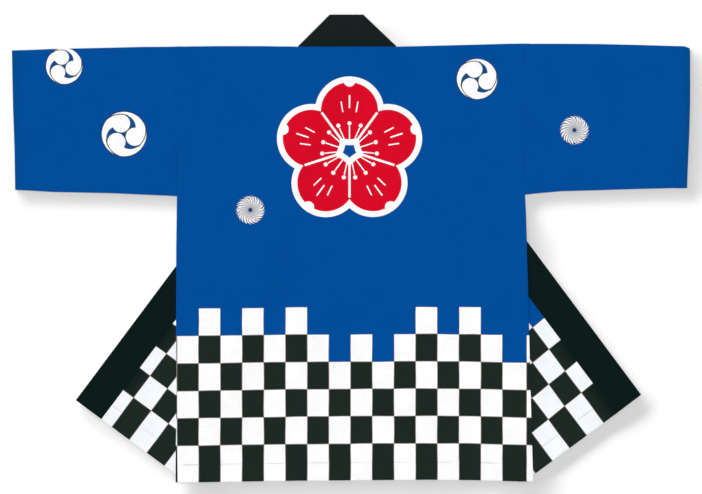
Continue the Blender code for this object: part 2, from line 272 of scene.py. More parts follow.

# %% [markdown]
# ## Soft creases
# Pressed cotton still keeps traces of how it was folded and pulled: a shallow trough where it
# was folded for the shelf, and short drags that run out from the armpits. They are placed one
# by one, each with its own length, width and depth, and they are added to the sheet's height.

# %% Creases, in metres; a ridge has a negative depth
Crease = namedtuple("Crease", "x y to_x to_y width depth")
BACK_CREASES = table(
    Crease,
    (-0.322, 0.104, -0.214, 0.226, 0.034, 0.0005), (-0.318, 0.082, -0.232, 0.121, 0.026, 0.00034),
    (0.321, 0.106, 0.231, 0.204, 0.03, 0.00046), (0.318, 0.078, 0.246, 0.102, 0.024, 0.00028),
    (-0.172, 0.356, -0.168, 0.048, 0.046, -0.00042), (0.156, 0.348, 0.166, 0.118, 0.04, -0.00034),
    (-0.31, -0.021, -0.021, -0.012, 0.022, 0.00024), (0.022, -0.009, 0.306, -0.018, 0.02, 0.0003),
    (-0.3, -0.172, -0.182, -0.236, 0.05, -0.0005), (0.318, -0.388, 0.246, -0.176, 0.044, -0.0006),
    (0.052, -0.255, 0.118, -0.418, 0.06, -0.00036), (-0.07, -0.13, -0.112, -0.372, 0.056, -0.0003))
SLEEVE_CREASES = {
    "left": table(
        Crease,
        (-0.34, 0.118, -0.432, 0.196, 0.03, 0.0003), (-0.346, 0.342, -0.47, 0.3, 0.044, -0.0004),
        (-0.6, 0.268, -0.498, 0.3, 0.034, 0.00026), (-0.596, 0.15, -0.52, 0.178, 0.038, -0.00044)),
    "right": table(
        Crease,
        (0.338, 0.12, 0.42, 0.186, 0.028, 0.0003), (0.352, 0.336, 0.452, 0.318, 0.04, -0.00036),
        (0.598, 0.196, 0.486, 0.236, 0.044, -0.0004), (0.604, 0.338, 0.52, 0.33, 0.03, 0.00024)),
}
UNDERSIDE_CREASES = table(
    Crease,
    (-0.3, 0.06, -0.19, 0.16, 0.04, -0.00026), (0.298, 0.05, 0.196, 0.14, 0.036, -0.00024),
    (-0.28, -0.12, -0.17, -0.18, 0.046, -0.00022), (0.3, -0.14, 0.22, -0.21, 0.042, -0.00026))
print("creases:", len(BACK_CREASES) + sum(len(row) for row in SLEEVE_CREASES.values()))

# %% Height from creases, and the lift of a pressed hem
WAVER, WAVER_LENGTH = 0.00012, 0.070  # slow unevenness of a pressed sheet
RUN_OUT = 0.2                         # share of its length that a crease runs past its ends
RUN_OVER = 0.45                       # share of its length that it takes to fade there
CURL, CURL_WIDTH = 0.0017, 0.034      # a pressed hem is stiff and stands a little off the floor
CURL_LENGTH, CURL_UNEVEN, CURL_ROW = 0.160, 0.5, 3.7


def relief(creases, x, y):
    """Height that the creases and the cloth's unevenness give at a place."""
    height = WAVER * noise.noise((x / WAVER_LENGTH, y / WAVER_LENGTH, 0.0))
    for crease in creases:
        along = Vector((crease.to_x - crease.x, crease.to_y - crease.y))
        away = Vector((x - crease.x, y - crease.y))
        share = away.dot(along) / along.length_squared
        off = abs(along.normalized().cross(away)) / (crease.width / 2)
        if off < 1 and -RUN_OUT < share < 1 + RUN_OUT:
            ends = ease((share + RUN_OUT) / RUN_OVER) * ease((1 + RUN_OUT - share) / RUN_OVER)
            height -= crease.depth * ends * (1 - ease(off))
    return height


def curl(hem_reach, along):
    """Lift of the cloth beside its hem, uneven along it."""
    uneven = 1 + CURL_UNEVEN * noise.noise((along / CURL_LENGTH, CURL_ROW, 0.0))
    return CURL * uneven * (1 - ease(hem_reach / CURL_WIDTH))


print("lift at a hem in mm:", round(curl(0.0, 0.0) * 1000, 2))

# %% [markdown]
# ## A sheet of cloth
# Each piece starts as a grid primitive, is stretched to the outline of its cut, and gets its
# thickness and rounded edges with modifiers while it is still flat. Its UV map is taken then
# too, in metres on the cut, so the print follows the cloth through every fold. Only then is it
# folded and laid. A cloth simulation would settle in much the same place, but it would drift,
# and a pressed coat has hardly any drape to gain from it.

# %% Flat sheets
CUT_MAP = "cut"               # UV map that holds the place on the flat cut, in metres
ONE_SPAN = 1.0                # a pitch so wide that nothing comes between two marks
NEAR, NEARER = 1e-6, 1e-7     # places closer than this are one place


def stations(*marks):
    """Places from the first mark to the last; each mark is (place, pitch up to the next)."""
    places = []
    for (start, pitch), (end, _) in zip(marks, marks[1:]):
        count = max(1, round((end - start) / pitch))
        places += [blend(start, end, step / count) for step in range(count)]
    return [*places, marks[-1][0]]


def shares(length, *marks):
    return [place / length for place in stations(*marks, (length, ONE_SPAN))]


def new_cloth(name):
    """Names the new primitive and gives it a slot for the outside and one for the inside."""
    piece = bpy.context.object
    piece.name = piece.data.name = name
    for _ in range(2):
        piece.data.materials.append(None)
    return piece


def flat_sheet(name, across, along, outline):
    """A grid with one column for each place across and one row for each place along."""
    bpy.ops.mesh.primitive_grid_add(x_subdivisions=len(across) - 1, y_subdivisions=len(along) - 1,
                                    size=1.0)
    piece = new_cloth(name)
    for vert in piece.data.vertices:
        column = round((vert.co.x + 0.5) * (len(across) - 1))
        row = round((vert.co.y + 0.5) * (len(along) - 1))
        vert.co = outline(across[column], along[row])
    return piece


def flat_area(piece):
    """Area of the cut: of the flat sheet before it gets its thickness."""
    return sum(face.area for face in piece.data.polygons)


print("places along 100 mm at a pitch of 10 mm:", len(stations((0.0, 0.01), (0.1, ONE_SPAN))))

# %% Thickness, turned edges and cuts
EDGE_ROUND, EDGE_SEGMENTS = 0.00035, 2
BEVEL_ANGLE, SMOOTH_ANGLE = math.radians(60), math.radians(50)
FOLD_FACETS = 12


def select_only(piece):
    bpy.ops.object.select_all(action="DESELECT")
    piece.select_set(True)
    bpy.context.view_layer.objects.active = piece


def apply_modifier(piece, kind, **settings):
    select_only(piece)
    modifier = piece.modifiers.new(kind.title(), kind)
    for name, value in settings.items():
        setattr(modifier, name, value)
    bpy.ops.object.modifier_apply(modifier=modifier.name)


def thicken(piece, thickness, edge_round=EDGE_ROUND, segments=EDGE_SEGMENTS):
    """Gives a flat sheet its two faces and rounds their edges."""
    apply_modifier(piece, "SOLIDIFY", thickness=thickness, offset=0.0, use_even_offset=False,
                   material_offset=1)
    apply_modifier(piece, "BEVEL", width=edge_round, segments=segments, limit_method="ANGLE",
                   angle_limit=BEVEL_ANGLE)


def turn_in(piece, is_turned):
    """Shows the printed side on the inside too, where a hem or an edge is turned in."""
    for face in piece.data.polygons:
        if face.material_index == 1 and is_turned(face.center):
            face.material_index = 0


@contextmanager
def opened(piece):
    """The piece's mesh, open for cutting and extruding."""
    mesh = bmesh.new()
    mesh.from_mesh(piece.data)
    yield mesh
    mesh.to_mesh(piece.data)
    mesh.free()


def cut_along(piece, lines, where=None):
    """Cuts the flat sheet along lines, so that it can bend there."""
    with opened(piece) as mesh:
        for line in lines:
            faces = [face for face in mesh.faces
                     if where is None or where(face.calc_center_median())]
            edges = {edge for face in faces for edge in face.edges}
            verts = {vert for face in faces for vert in face.verts}
            bmesh.ops.bisect_plane(mesh, geom=[*faces, *edges, *verts], dist=NEAR,
                                   plane_co=(*line.point, 0.0), plane_no=(*line.normal, 0.0))


def facets(fold):
    """Lines across a fold, one for each facet of its bend."""
    steps = [fold.arc * (step / FOLD_FACETS - 0.5) for step in range(FOLD_FACETS + 1)]
    return [Line(fold.point + fold.normal * step, fold.normal) for step in steps]


print("facets of a fold:", FOLD_FACETS)


# %% Mapping the cut and laying it
def map_layer(piece):
    layer = piece.data.uv_layers.active or piece.data.uv_layers.new()
    layer.name = CUT_MAP
    return layer.data


def cut_map(piece, place):
    """Writes the UV map from the sheet while it is flat."""
    data = map_layer(piece)
    for loop in piece.data.loops:
        data[loop.index].uv = place(piece.data.vertices[loop.vertex_index].co)


def lay(piece, place):
    """Sets every point of the flat sheet in its place on the coat, never below the floor."""
    for vert in piece.data.vertices:
        vert.co = place(vert.co)
        vert.co.z = max(vert.co.z, 0.0)
    select_only(piece)
    bpy.ops.object.shade_smooth_by_angle(angle=SMOOTH_ANGLE)
    piece.data.update()
    print(piece.name, len(piece.data.polygons), "faces")


print("UV map:", CUT_MAP)

# %% [markdown]
# ## The back
# The back is one length of cloth. It is turned up at the hem and pressed, so it is thickest
# there and along its seams; at the shoulder it runs over the ridge and ends below, where its
# seam can't be seen. Between the two fronts it sinks to the floor.

# %% Outline and thickness of the back
HEM = 0.0330              # the turned-up hem, up to its row of stitches
TURNING = 0.0100          # seam allowance inside, at the sides
STEP_WIDTH = 0.0020       # how quickly the cloth thins beside a hem or a seam
GROOVE = 0.00022          # how deep a row of stitches pulls the cloth in
SEAM_ROLL = 0.0026        # cloth curving down into a seam
PITCH = 0.0055            # of the grid, away from edges
FINE = 0.0009             # pitch where the cloth thins or rolls
FINEST = 0.0005           # pitch beside a row of stitches


def shoulder_radius(side, point):
    return (side.back_level(point) - side.front_level(point)) / 2


def shoulder_start(side, x):
    """Where the back begins to turn down over the shoulder ridge."""
    ridge = height_of(SHOULDER, x)
    return ridge - shoulder_radius(side, Vector((x, ridge))) - LAYER / 2


def back_top(x):
    place = Vector((x, 0.0))
    side = nearer_side(place)
    if side.from_seam(place) > 0:
        return shoulder_start(side, x)
    inside = min(1.0, -side.from_seam(place) / SNIP)
    return blend(NECK_LINE - SNIP, NECK_LINE + TUCK, inside)


def back_outline(share, height):
    """A place on the flat back, from shares of its width and of its height."""
    y = blend(BACK_HEM[0].y, NECK_LINE, height)
    for _ in range(2):
        x = blend(*sides_at(y), share)
        y = blend(height_of(BACK_HEM, x), back_top(x), height)
    return (x, y, 0.0)


def thickness_at(hem_reach, side_reach):
    """Cloth with its turnings at the hem and the sides, thinner between them."""
    hem, sides = [1 - ease((reach - width) / STEP_WIDTH)
                  for reach, width in ((hem_reach, HEM), (side_reach, TURNING))]
    return blend(FIELD, LAYER, max(hem, sides)) / LAYER


def groove(hem_reach):
    return -GROOVE * (1 - ease(abs(hem_reach - HEM) / STEP_WIDTH))


low_left, low_right = sides_at(BACK_HEM[0].y)
print("back at the hem in mm:", round((low_right - low_left) * 1000))

# %% How the back lies
SAG_START, SAG = 0.0030, 0.0560        # back coming down to the floor between the fronts
SAG_BLEND = 4                          # how sharply the levels of the two sides join
BRIDGE = 0.0950                        # back hanging from the band below the neck
EDGE_CALM, NECK_CALM, RIDGE_CALM = 0.02, 0.04, 0.03    # no creases this close to them


def back_level(point):
    lift = 0.0
    for side in (LEFT, RIGHT):
        beyond = ease((side.crease.reach(point) - SAG_START) / SAG)
        lift += ((side.back_level(point) - FLOOR_LEVEL) * (1 - beyond)) ** SAG_BLEND
    level = FLOOR_LEVEL + lift ** (1 / SAG_BLEND)
    if LEFT.seam < point.x < RIGHT.seam:
        level = blend(level, NECK_BACK_LEVEL, 1 - ease((NECK_LINE - point.y) / BRIDGE))
    return level


def lay_back(point):
    side = nearer_side(point)
    left, right = sides_at(point.y)
    hem_reach = point.y - height_of(BACK_HEM, point.x)
    side_reach = min(point.x - left, right - point.x)
    z = point.z * thickness_at(hem_reach, side_reach)
    start = shoulder_start(side, point.x) if side.from_seam(point) > 0 else math.inf
    past = point.y - start
    if past <= NEARER:
        level = back_level(point)
        soft = ease(-past / RIDGE_CALM) * ease(side_reach / EDGE_CALM) * ease(hem_reach / EDGE_CALM)
        soft *= ease((NECK_LINE - point.y) / NECK_CALM)
        level += relief(BACK_CREASES, point.x, point.y) * soft
        level += curl(hem_reach, point.x) * (1 - ease((level - FLOOR_LEVEL) / FRONT_LEVEL))
        if point.z > 0:
            level += groove(hem_reach)
        level -= SEAM_GAP * (1 - ease(side_reach / SEAM_ROLL))
        return Vector((point.x, point.y, level + z))
    ridge = Vector((point.x, start, 0.0))
    radius = shoulder_radius(side, ridge)
    turn = min(math.pi, past / radius)
    arm = radius + z
    y = start + arm * math.sin(turn) - max(0.0, past - math.pi * radius)
    return Vector((point.x, y, back_level(ridge) - radius + arm * math.cos(turn)))


print("back above the floor at its middle, in mm:", round(back_level(Vector((0.0, 0.0))) * 1000, 2))

# %% Making the back
SHOULDER_STEPS = 14
SHOULDER_TAIL = 0.0010

back_width = RIGHT.side_edge(0.0) - LEFT.side_edge(0.0)
back_height = NECK_LINE - BACK_HEM[0].y


def neck_place(x):
    """A place across the neck line, at the width that the back has in its middle."""
    left, right = sides_at(NECK_LINE)
    return (x - left) / (right - left) * back_width


def on_shoulder(side, place):
    return side.from_seam(place) > 0 and abs(place.y - shoulder_start(side, place.x)) < NEAR


def grow_shoulders(piece):
    """Extrudes the shoulder edges of the flat back, for the roll over the ridge."""
    with opened(piece) as mesh:
        for side in (LEFT, RIGHT):
            edges = [edge for edge in mesh.edges
                     if edge.is_boundary and all(on_shoulder(side, vert.co) for vert in edge.verts)]
            arc = math.pi * shoulder_radius(side, Vector((side.seam, NECK_LINE)))
            for step in range(SHOULDER_STEPS + 1):
                grown = bmesh.ops.extrude_edge_only(mesh, edges=edges)["geom"]
                reach = arc / SHOULDER_STEPS if step < SHOULDER_STEPS else SHOULDER_TAIL
                for vert in [item for item in grown if isinstance(item, bmesh.types.BMVert)]:
                    vert.co.y += reach
                edges = [item for item in grown if isinstance(item, bmesh.types.BMEdge)]
        bmesh.ops.recalc_face_normals(mesh, faces=mesh.faces[:])
        if sum(face.normal.z for face in mesh.faces) < 0:
            bmesh.ops.reverse_faces(mesh, faces=mesh.faces[:])


across_back = shares(
    back_width, (0.0, FINE), (SEAM_ROLL, PITCH), (TURNING, FINE), (TURNING + STEP_WIDTH, PITCH),
    (neck_place(LEFT.seam - RISE_START), ONE_SPAN), (neck_place(LEFT.seam + SNIP), PITCH),
    (neck_place(RIGHT.seam - SNIP), ONE_SPAN), (neck_place(RIGHT.seam + RISE_START), PITCH),
    (back_width - TURNING - STEP_WIDTH, FINE), (back_width - TURNING, PITCH),
    (back_width - SEAM_ROLL, FINE))
up_cloth = shares(back_height, (0.0, PITCH), (HEM - STEP_WIDTH, FINEST), (HEM + STEP_WIDTH, PITCH))
back = flat_sheet("back_cloth", across_back, up_cloth, back_outline)
grow_shoulders(back)
back_area = flat_area(back)
cut_map(back, lambda place: (
    place.x, place.y + (BACK_HEM[0].y - height_of(BACK_HEM, place.x))
    * (1 - ease((place.y - BACK_HEM[0].y) / back_height))))
thicken(back, LAYER)
turn_in(back, lambda place: place.y < height_of(BACK_HEM, place.x) + HEM)
lay(back, lay_back)
print("flat area of the back in square metres:", round(back_area, 3))

# %% [markdown]
# ## The fronts
# A front lies printed side down below the back, except its lower corner: that is turned out on
# a slanting fold, and shows its printed side again beside the back. Each front is laid out
# flat, cut along the facets of its fold and folded by the same rule as the solid.

# %% Outline of a front
AT_HEM = -0.44            # height of the hems, roughly
VENT = 0.1900             # the side seam is left open this far above the hem
VENT_SHOW = {"left": 0.0037, "right": 0.0}


def front_edge(side, y):
    """Side edge of a front, which shows a little past the back where the seam is open."""
    lowest = height_of(side.hem, side.side_edge(AT_HEM))
    return side.side_edge(y) + side.side * VENT_SHOW[side.name] * (1 - ease((y - lowest) / VENT))


def front_outline(side, share, height):
    y = blend(side.hem[0].y, NECK_LINE, height)
    inner = side.seam - side.side * TUCK
    for _ in range(2):
        x = blend(inner, front_edge(side, y), share)
        top = shoulder_start(side, x) - SHOULDER_TAIL - SEAM_GAP
        y = blend(height_of(side.hem, x), top, height)
    return (x, y, 0.0)


print("fronts at the hem in mm:", [round(abs(front_edge(side, side.hem[0].y) - side.seam) * 1000)
                                   for side in (LEFT, RIGHT)])

# %% Making the fronts
CORNER_FREE = 0.0900      # beyond the crease, where the turned corner is free to stand off
CORNER_CURL = 0.65        # of the curl at the back's hem
UNDER_NECK_CALM, BAND_CALM = 0.05, 0.03


def lay_front(side, point):
    hem_reach = point.y - height_of(side.hem, point.x)
    edge_reach = abs(front_edge(side, point.y) - point.x)
    point = point.copy()
    point.z *= thickness_at(hem_reach, edge_reach)
    if point.z < 0:
        point.z -= groove(hem_reach)
    placed = side.crease.bend(point)
    past = side.crease.reach(point)
    if past >= -side.crease.arc / 2:
        placed.z += FRONT_LEVEL + BAND_EXTRA * side.beside(side.band_seam, point)
        placed.z += curl(hem_reach, side.seam) * CORNER_CURL * ease(past / CORNER_FREE)
    else:
        placed.z += side.front_level(point) + SEAM_GAP * 0.5 * (1 - ease(edge_reach / SEAM_ROLL))
        soft = ease(edge_reach / EDGE_CALM) * ease(hem_reach / EDGE_CALM) * ease(-past / NECK_CALM)
        soft *= ease((NECK_LINE - point.y) / UNDER_NECK_CALM)
        soft *= ease(side.from_seam(point) / BAND_CALM)
        placed.z += relief(UNDERSIDE_CREASES, placed.x, placed.y) * soft
    return placed


def make_front(side):
    wide = abs(side.side_edge(0.0) - side.seam)
    across = shares(wide, (0.0, PITCH), (wide - TURNING - STEP_WIDTH, FINE),
                    (wide - TURNING, PITCH), (wide - SEAM_ROLL, FINE))
    piece = flat_sheet(f"front_{side.name}_cloth", across, up_cloth, partial(front_outline, side))
    if sum(face.normal.z for face in piece.data.polygons) > 0:
        piece.data.flip_normals()             # the printed side lies down
    area = flat_area(piece)
    thicken(piece, LAYER)
    turn_in(piece, lambda place: place.y < height_of(side.hem, place.x) + HEM
            or abs(front_edge(side, place.y) - place.x) < TURNING)
    cut_along(piece, facets(side.crease))
    cut_map(piece, lambda place: (side.from_seam(place), place.y - height_of(side.hem, place.x)))
    lay(piece, partial(lay_front, side))
    return piece, area


front_left, front_left_area = make_front(LEFT)
front_right, front_right_area = make_front(RIGHT)
print("flat areas of the fronts:", round(front_left_area, 3), round(front_right_area, 3))

# %% [markdown]
# ## The sleeves
# A happi sleeve is a plain tube: the cloth is folded along its top and sewn along its bottom.
# So it starts as a cylinder as long as the sleeve and as wide round as the cloth. With its wall
# made, each ring is flattened: a lower layer, the fold, an upper layer and the seam.

# %% Round a flattened sleeve
SLEEVE_FLAT_STEPS = 46    # spans across each layer
SLEEVE_BEND_STEPS = 10
SLEEVE_STEPS = 2 * (SLEEVE_FLAT_STEPS + SLEEVE_BEND_STEPS)


def around(step, top, bottom):
    """Height, rise and outward normal round a flattened ring, and its place on the cut."""
    radius = LAYER_STEP / 2
    high, low = top - radius - LAYER / 2, bottom + radius + LAYER / 2
    way, start, end = 1, low, high            # the lower layer and the fold
    if step > SLEEVE_STEPS / 2:               # the upper layer and the seam
        step, way, start, end = step - SLEEVE_STEPS / 2, -1, high, low
    y = blend(start, end, min(1.0, step / SLEEVE_FLAT_STEPS))
    turn = math.pi * max(0.0, step - SLEEVE_FLAT_STEPS) / SLEEVE_BEND_STEPS
    cut = y if way < 0 else 2 * high + math.pi * radius - y
    normal = (way * math.sin(turn), -way * math.cos(turn))
    return y + radius * normal[0], radius * (1 + normal[1]), normal, cut - radius * turn


print("spans round a sleeve:", SLEEVE_STEPS)

# %% How a sleeve lies
CUFF_HEM = 0.0200         # cloth turned in at the cuff
CUFF_LIFT = 0.0012
SLEEVE_CALM = 0.03        # no creases this close to the seam and the cuff
SEAM_TOUCH = 0.00004      # a sleeve all but touches the body, and their round edges make a groove


class Sleeve:
    """A sleeve as a straight tube, and the rule that lays it flat."""

    def __init__(self, side):
        self.side = side
        self.sections = SLEEVE[side.name]
        self.length = abs(CUFF[side.name][0].x - side.side_edge(CUFF[side.name][0].y))
        self.girth = 2 * (self.sections[0].top - self.sections[0].bottom)
        self.tube_radius = self.girth / math.tau

    def ring(self, point):
        """Share of the length, the step round the ring and the height above the mid-wall."""
        reach = min(1.0, max(0.0, point.z / self.length + 0.5))
        step = round(math.atan2(point.y, point.x) / math.tau * SLEEVE_STEPS, 3) % SLEEVE_STEPS
        return reach, step, point.xy.length - self.tube_radius

    def on_tube(self, reach, step):
        top, bottom = [read(self.sections, "reach", reach, edge) for edge in ("top", "bottom")]
        y, rise, normal, cut = around(step, top, bottom)
        middle = max(0.0, 1 - ((2 * y - top - bottom) / (top - bottom)) ** 2)
        armhole = self.side.side_edge(y) + self.side.side * SEAM_TOUCH
        x = blend(armhole, read(CUFF[self.side.name], "y", y, "x"), reach)
        return x, y, rise, normal, cut, middle

    def lay(self, point):
        reach, step, out = self.ring(point)
        x, y, rise, normal, _, middle = self.on_tube(reach, step)
        seam_reach, cuff_reach = reach * self.length, (1 - reach) * self.length
        upper = rise / LAYER_STEP
        out *= thickness_at(cuff_reach + HEM - CUFF_HEM, seam_reach)
        if out > 0:
            out += groove(cuff_reach + HEM - CUFF_HEM)
        soft = middle * ease(seam_reach / SLEEVE_CALM) * ease(cuff_reach / SLEEVE_CALM) * upper
        rise += CUFF_LIFT * upper * middle * ease(reach)
        rise += relief(SLEEVE_CREASES[self.side.name], x, y) * soft
        rise -= SEAM_GAP * upper * (1 - ease(seam_reach / SEAM_ROLL))
        return Vector((x, y + normal[0] * out, FLOOR_LEVEL + rise + normal[1] * out))


left_tube, right_tube = Sleeve(LEFT), Sleeve(RIGHT)
print("sleeves in mm:", [round(tube.length * 1000) for tube in (left_tube, right_tube)])


# %% Making the sleeves
def sleeve_map(piece, sleeve):
    """UV map of the tube before it is flattened; the seam's faces close at the bottom."""
    data = map_layer(piece)
    for face in piece.data.polygons:
        rings = [sleeve.ring(piece.data.vertices[index].co)[:2] for index in face.vertices]
        last = max(step for _, step in rings) > SLEEVE_STEPS / 2
        for loop, (reach, step) in zip(face.loop_indices, rings):
            step = SLEEVE_STEPS if last and step == 0 else step
            x, _, _, _, cut, _ = sleeve.on_tube(reach, step)
            data[loop].uv = (x, cut)


def make_sleeve(sleeve):
    hem = sleeve.length - CUFF_HEM
    marks = stations((0.0, FINE), (SEAM_ROLL, PITCH), (TURNING, FINE),
                     (TURNING + STEP_WIDTH, PITCH), (hem - STEP_WIDTH, FINEST),
                     (hem + STEP_WIDTH, PITCH), (sleeve.length, ONE_SPAN))
    bpy.ops.mesh.primitive_cylinder_add(vertices=SLEEVE_STEPS, radius=sleeve.tube_radius,
                                        depth=sleeve.length, end_fill_type="NOTHING")
    piece = new_cloth(f"sleeve_{sleeve.side.name}_cloth")
    with opened(piece) as mesh:
        for place in marks[1:-1]:
            bmesh.ops.bisect_plane(mesh, geom=[*mesh.faces, *mesh.edges, *mesh.verts], dist=NEARER,
                                   plane_co=(0.0, 0.0, place - sleeve.length / 2),
                                   plane_no=(0.0, 0.0, 1.0))
    area = flat_area(piece)
    thicken(piece, LAYER)
    turn_in(piece, lambda place: place.z > sleeve.length / 2 - CUFF_HEM)
    sleeve_map(piece, sleeve)
    lay(piece, sleeve.lay)
    if sleeve.side is LEFT:                   # laying it to the left has mirrored it
        piece.data.flip_normals()
    return piece, area


sleeve_left, sleeve_left_area = make_sleeve(left_tube)
sleeve_right, sleeve_right_area = make_sleeve(right_tube)
print("flat areas of the sleeves:", round(sleeve_left_area, 3), round(sleeve_right_area, 3))

# %% [markdown]
# ## The collar band
# The band is one straight strip of black cloth, folded round a core so that it is stiff, and
# closed at both ends. It is made straight, and then folded twice on each side: at 45 degrees
# where it leaves the neck, and again with the front's turned corner.

# %% How the band lies
NECK_LEAN = {"left": 0.0, "right": 0.0029}           # a corner of the neck pressed inwards


def on_strip(side, x):
    """A point of a front's hem, as it lies on the straight strip."""
    point = Vector((x, height_of(side.hem, x)))
    return point - 2 * side.mitre.reach(point) * side.mitre.normal


def band_outline(share, height):
    sewn = [on_strip(side, side.seam - side.side * SEAM_GAP / 2) for side in (LEFT, RIGHT)]
    free = [on_strip(side, side.free) for side in (LEFT, RIGHT)]
    low, high = sewn[0].lerp(sewn[1], share), free[0].lerp(free[1], share)
    return (*low.lerp(high, height), 0.0)


def past_mitre(side, point):
    return side.mitre.reach(point) >= side.mitre.arc / 2 - NEARER


def lay_band(point):
    side = nearer_side(point)
    placed = side.mitre.bend(point)
    if past_mitre(side, point):
        free = CORNER_CURL * ease(side.crease.reach(placed) / CORNER_FREE)
        end_reach = abs(on_strip(side, side.seam).x - point.x)
        placed = side.crease.bend(placed, level=-BAND_STEP)
        placed.z += curl(end_reach, side.seam) * free
    placed.z += NECK_BAND_LEVEL
    rise = max(placed.y - NECK_LINE, 0.0) / BAND_WIDTH
    lean = rise * ease(side.from_centre(placed) / (NECK_WIDTH / 2 - BAND_WIDTH))
    placed.x -= side.side * NECK_LEAN[side.name] * lean
    return placed


strip_ends = on_strip(LEFT, LEFT.seam).x, on_strip(RIGHT, RIGHT.seam).x
strip_length = strip_ends[1] - strip_ends[0]
print("length of the band in metres:", round(strip_length, 3))

# %% Making the band
BAND_ROUND, BAND_SEGMENTS = 0.0008, 4
BAND_PITCH = 0.0080

band = flat_sheet("collar_band_cloth", shares(strip_length, (0.0, BAND_PITCH)),
                  shares(BAND_WIDTH, (0.0, PITCH)), band_outline)
band_area = flat_area(band)
thicken(band, BAND, BAND_ROUND, BAND_SEGMENTS)
for side in (LEFT, RIGHT):
    cut_along(band, facets(side.mitre))
    cut_along(band, [line.mirrored(side.mitre) for line in facets(side.crease)],
              partial(past_mitre, side))
cut_map(band, lambda place: (place.x, place.y - NECK_LINE))
lay(band, lay_band)
print("flat area of the band:", round(band_area, 3))

# %% [markdown]
# ## Stitches
# Hems, cuffs and the band's edge are sewn by machine with about three stitches to the
# centimetre. One stitch is modelled, a small grain whose ends dip into the cloth, and copied
# along each row. Each row is one joined mesh, because a thousand objects would be hard to handle.

# %% One stitch
STITCH_PITCH = 0.0032
STITCH_LENGTH = 0.0024
THREAD = 0.00042          # about the width of sewing thread pressed flat
THREAD_HEIGHT, THREAD_DIP, THREAD_ABOVE = 0.7, 0.5, 0.2       # shares of its width

bpy.ops.mesh.primitive_uv_sphere_add(segments=6, ring_count=4, radius=0.5)
grain = bpy.context.object
grain.data.transform(Matrix.Rotation(math.pi / 2, 4, "Y"))
for vert in grain.data.vertices:
    dip = abs(vert.co.x) * 2
    vert.co = (vert.co.x * STITCH_LENGTH, vert.co.y * THREAD, vert.co.z * THREAD * THREAD_HEIGHT)
    vert.co.z -= THREAD * THREAD_DIP * dip ** 3
print("faces of one stitch:", len(grain.data.polygons))

# %% A row of stitches
RAISED = 0.0005               # a second point this far up shows which way is up there
rows = {}


def stitch_frame(lay_point, start, end):
    """Middle of a stitch as it lies, and the turn that brings the grain there."""
    raised = start + Vector((0.0, 0.0, math.copysign(RAISED, start.z)))
    here, there, above = lay_point(start), lay_point(end), lay_point(raised)
    ahead = (there - here).normalized()
    up = (above - here).normalized()
    aside = up.cross(ahead).normalized()
    turn = Matrix((ahead, aside, ahead.cross(aside))).transposed().to_4x4()
    return (here + there) / 2, turn


def sew(name, lay_point, routes, on_cut=None):
    """Stitches along routes on a flat sheet, laid with the sheet's own rule, as one mesh.

    on_cut gives a point's place on the cut, where the thread takes the colour below it."""
    mesh = bmesh.new()
    places = []
    for start, end in [pair for route in routes for pair in zip(route, route[1:])]:
        middle, turn = stitch_frame(lay_point, start, end)
        count = len(mesh.verts)
        mesh.from_mesh(grain.data)
        mesh.verts.ensure_lookup_table()
        for vert in mesh.verts[count:]:
            vert.co = middle + turn @ vert.co
            vert.co.z = max(vert.co.z, 0.0)
        places += [on_cut(start) if on_cut else (0.0, 0.0)] * (len(mesh.verts) - count)
    data = bpy.data.meshes.new(name)
    mesh.to_mesh(data)
    mesh.free()
    layer = data.uv_layers.new(name=CUT_MAP)
    for loop in data.loops:
        layer.data[loop.index].uv = places[loop.vertex_index]
    rows[name] = bpy.data.objects.new(name, data)
    bpy.context.scene.collection.objects.link(rows[name])
    data.shade_smooth()
    print(name, sum(len(route) - 1 for route in routes), "stitches")


def stitch_route(point_at, length):
    count = int(length / STITCH_PITCH)
    return [point_at((step + 0.5) / (count + 1)) for step in range(count + 1)]


print("stitches to a centimetre:", round(0.01 / STITCH_PITCH, 1))

# %% Stitches of the hems and the band
ON_TOP = LAYER / 2 + THREAD * THREAD_ABOVE
ROW_INSET = 0.004             # share of the back's width left free at each end
FRONT_INSETS = 0.001, 0.0016  # from the band's seam and from the side edge
BAND_INSETS = 0.002, 0.0022   # from the band's ends and from its seam


def back_hem_point(share):
    x = blend(*sides_at(BACK_HEM[0].y), blend(ROW_INSET, 1 - ROW_INSET, share))
    return Vector((x, height_of(BACK_HEM, x) + HEM, ON_TOP))


def front_hem_point(side, share):
    inner = side.seam + side.side * FRONT_INSETS[0]
    x = blend(inner, front_edge(side, side.hem[0].y) - side.side * FRONT_INSETS[1], share)
    return Vector((x, height_of(side.hem, x) + HEM, -ON_TOP))


def band_point(share):
    x = blend(strip_ends[0] + BAND_INSETS[0], strip_ends[1] - BAND_INSETS[0], share)
    return Vector((x, NECK_LINE + BAND_INSETS[1], BAND / 2 + THREAD * THREAD_ABOVE))


sew("back_hem_stitches", lay_back, [stitch_route(back_hem_point, low_right - low_left)],
    lambda point: (point.x, BACK_HEM[0].y + HEM))
for side in (LEFT, RIGHT):
    length = abs(side.side_edge(side.hem[0].y) - side.seam)
    sew(f"front_{side.name}_hem_stitches", partial(lay_front, side),
        [stitch_route(partial(front_hem_point, side), length)],
        lambda point: (side.from_seam(point), HEM))
sew("band_stitches", lay_band, [stitch_route(band_point, strip_length)])
print("rows on the hems and the band:", len(rows))


# %% Stitches of the cuffs, one row on each layer
def cuff_point(sleeve, first, share):
    turn = (first + SLEEVE_FLAT_STEPS * share) / SLEEVE_STEPS * math.tau
    reach = sleeve.tube_radius + ON_TOP
    return Vector((reach * math.cos(turn), reach * math.sin(turn), sleeve.length / 2 - CUFF_HEM))


for sleeve in (left_tube, right_tube):
    sew(f"cuff_{sleeve.side.name}_stitches", sleeve.lay,
        [stitch_route(partial(cuff_point, sleeve, first), sleeve.girth / 2)
         for first in (0, SLEEVE_FLAT_STEPS + SLEEVE_BEND_STEPS)])

bpy.data.objects.remove(grain)
print("rows of stitches in all:", len(rows))

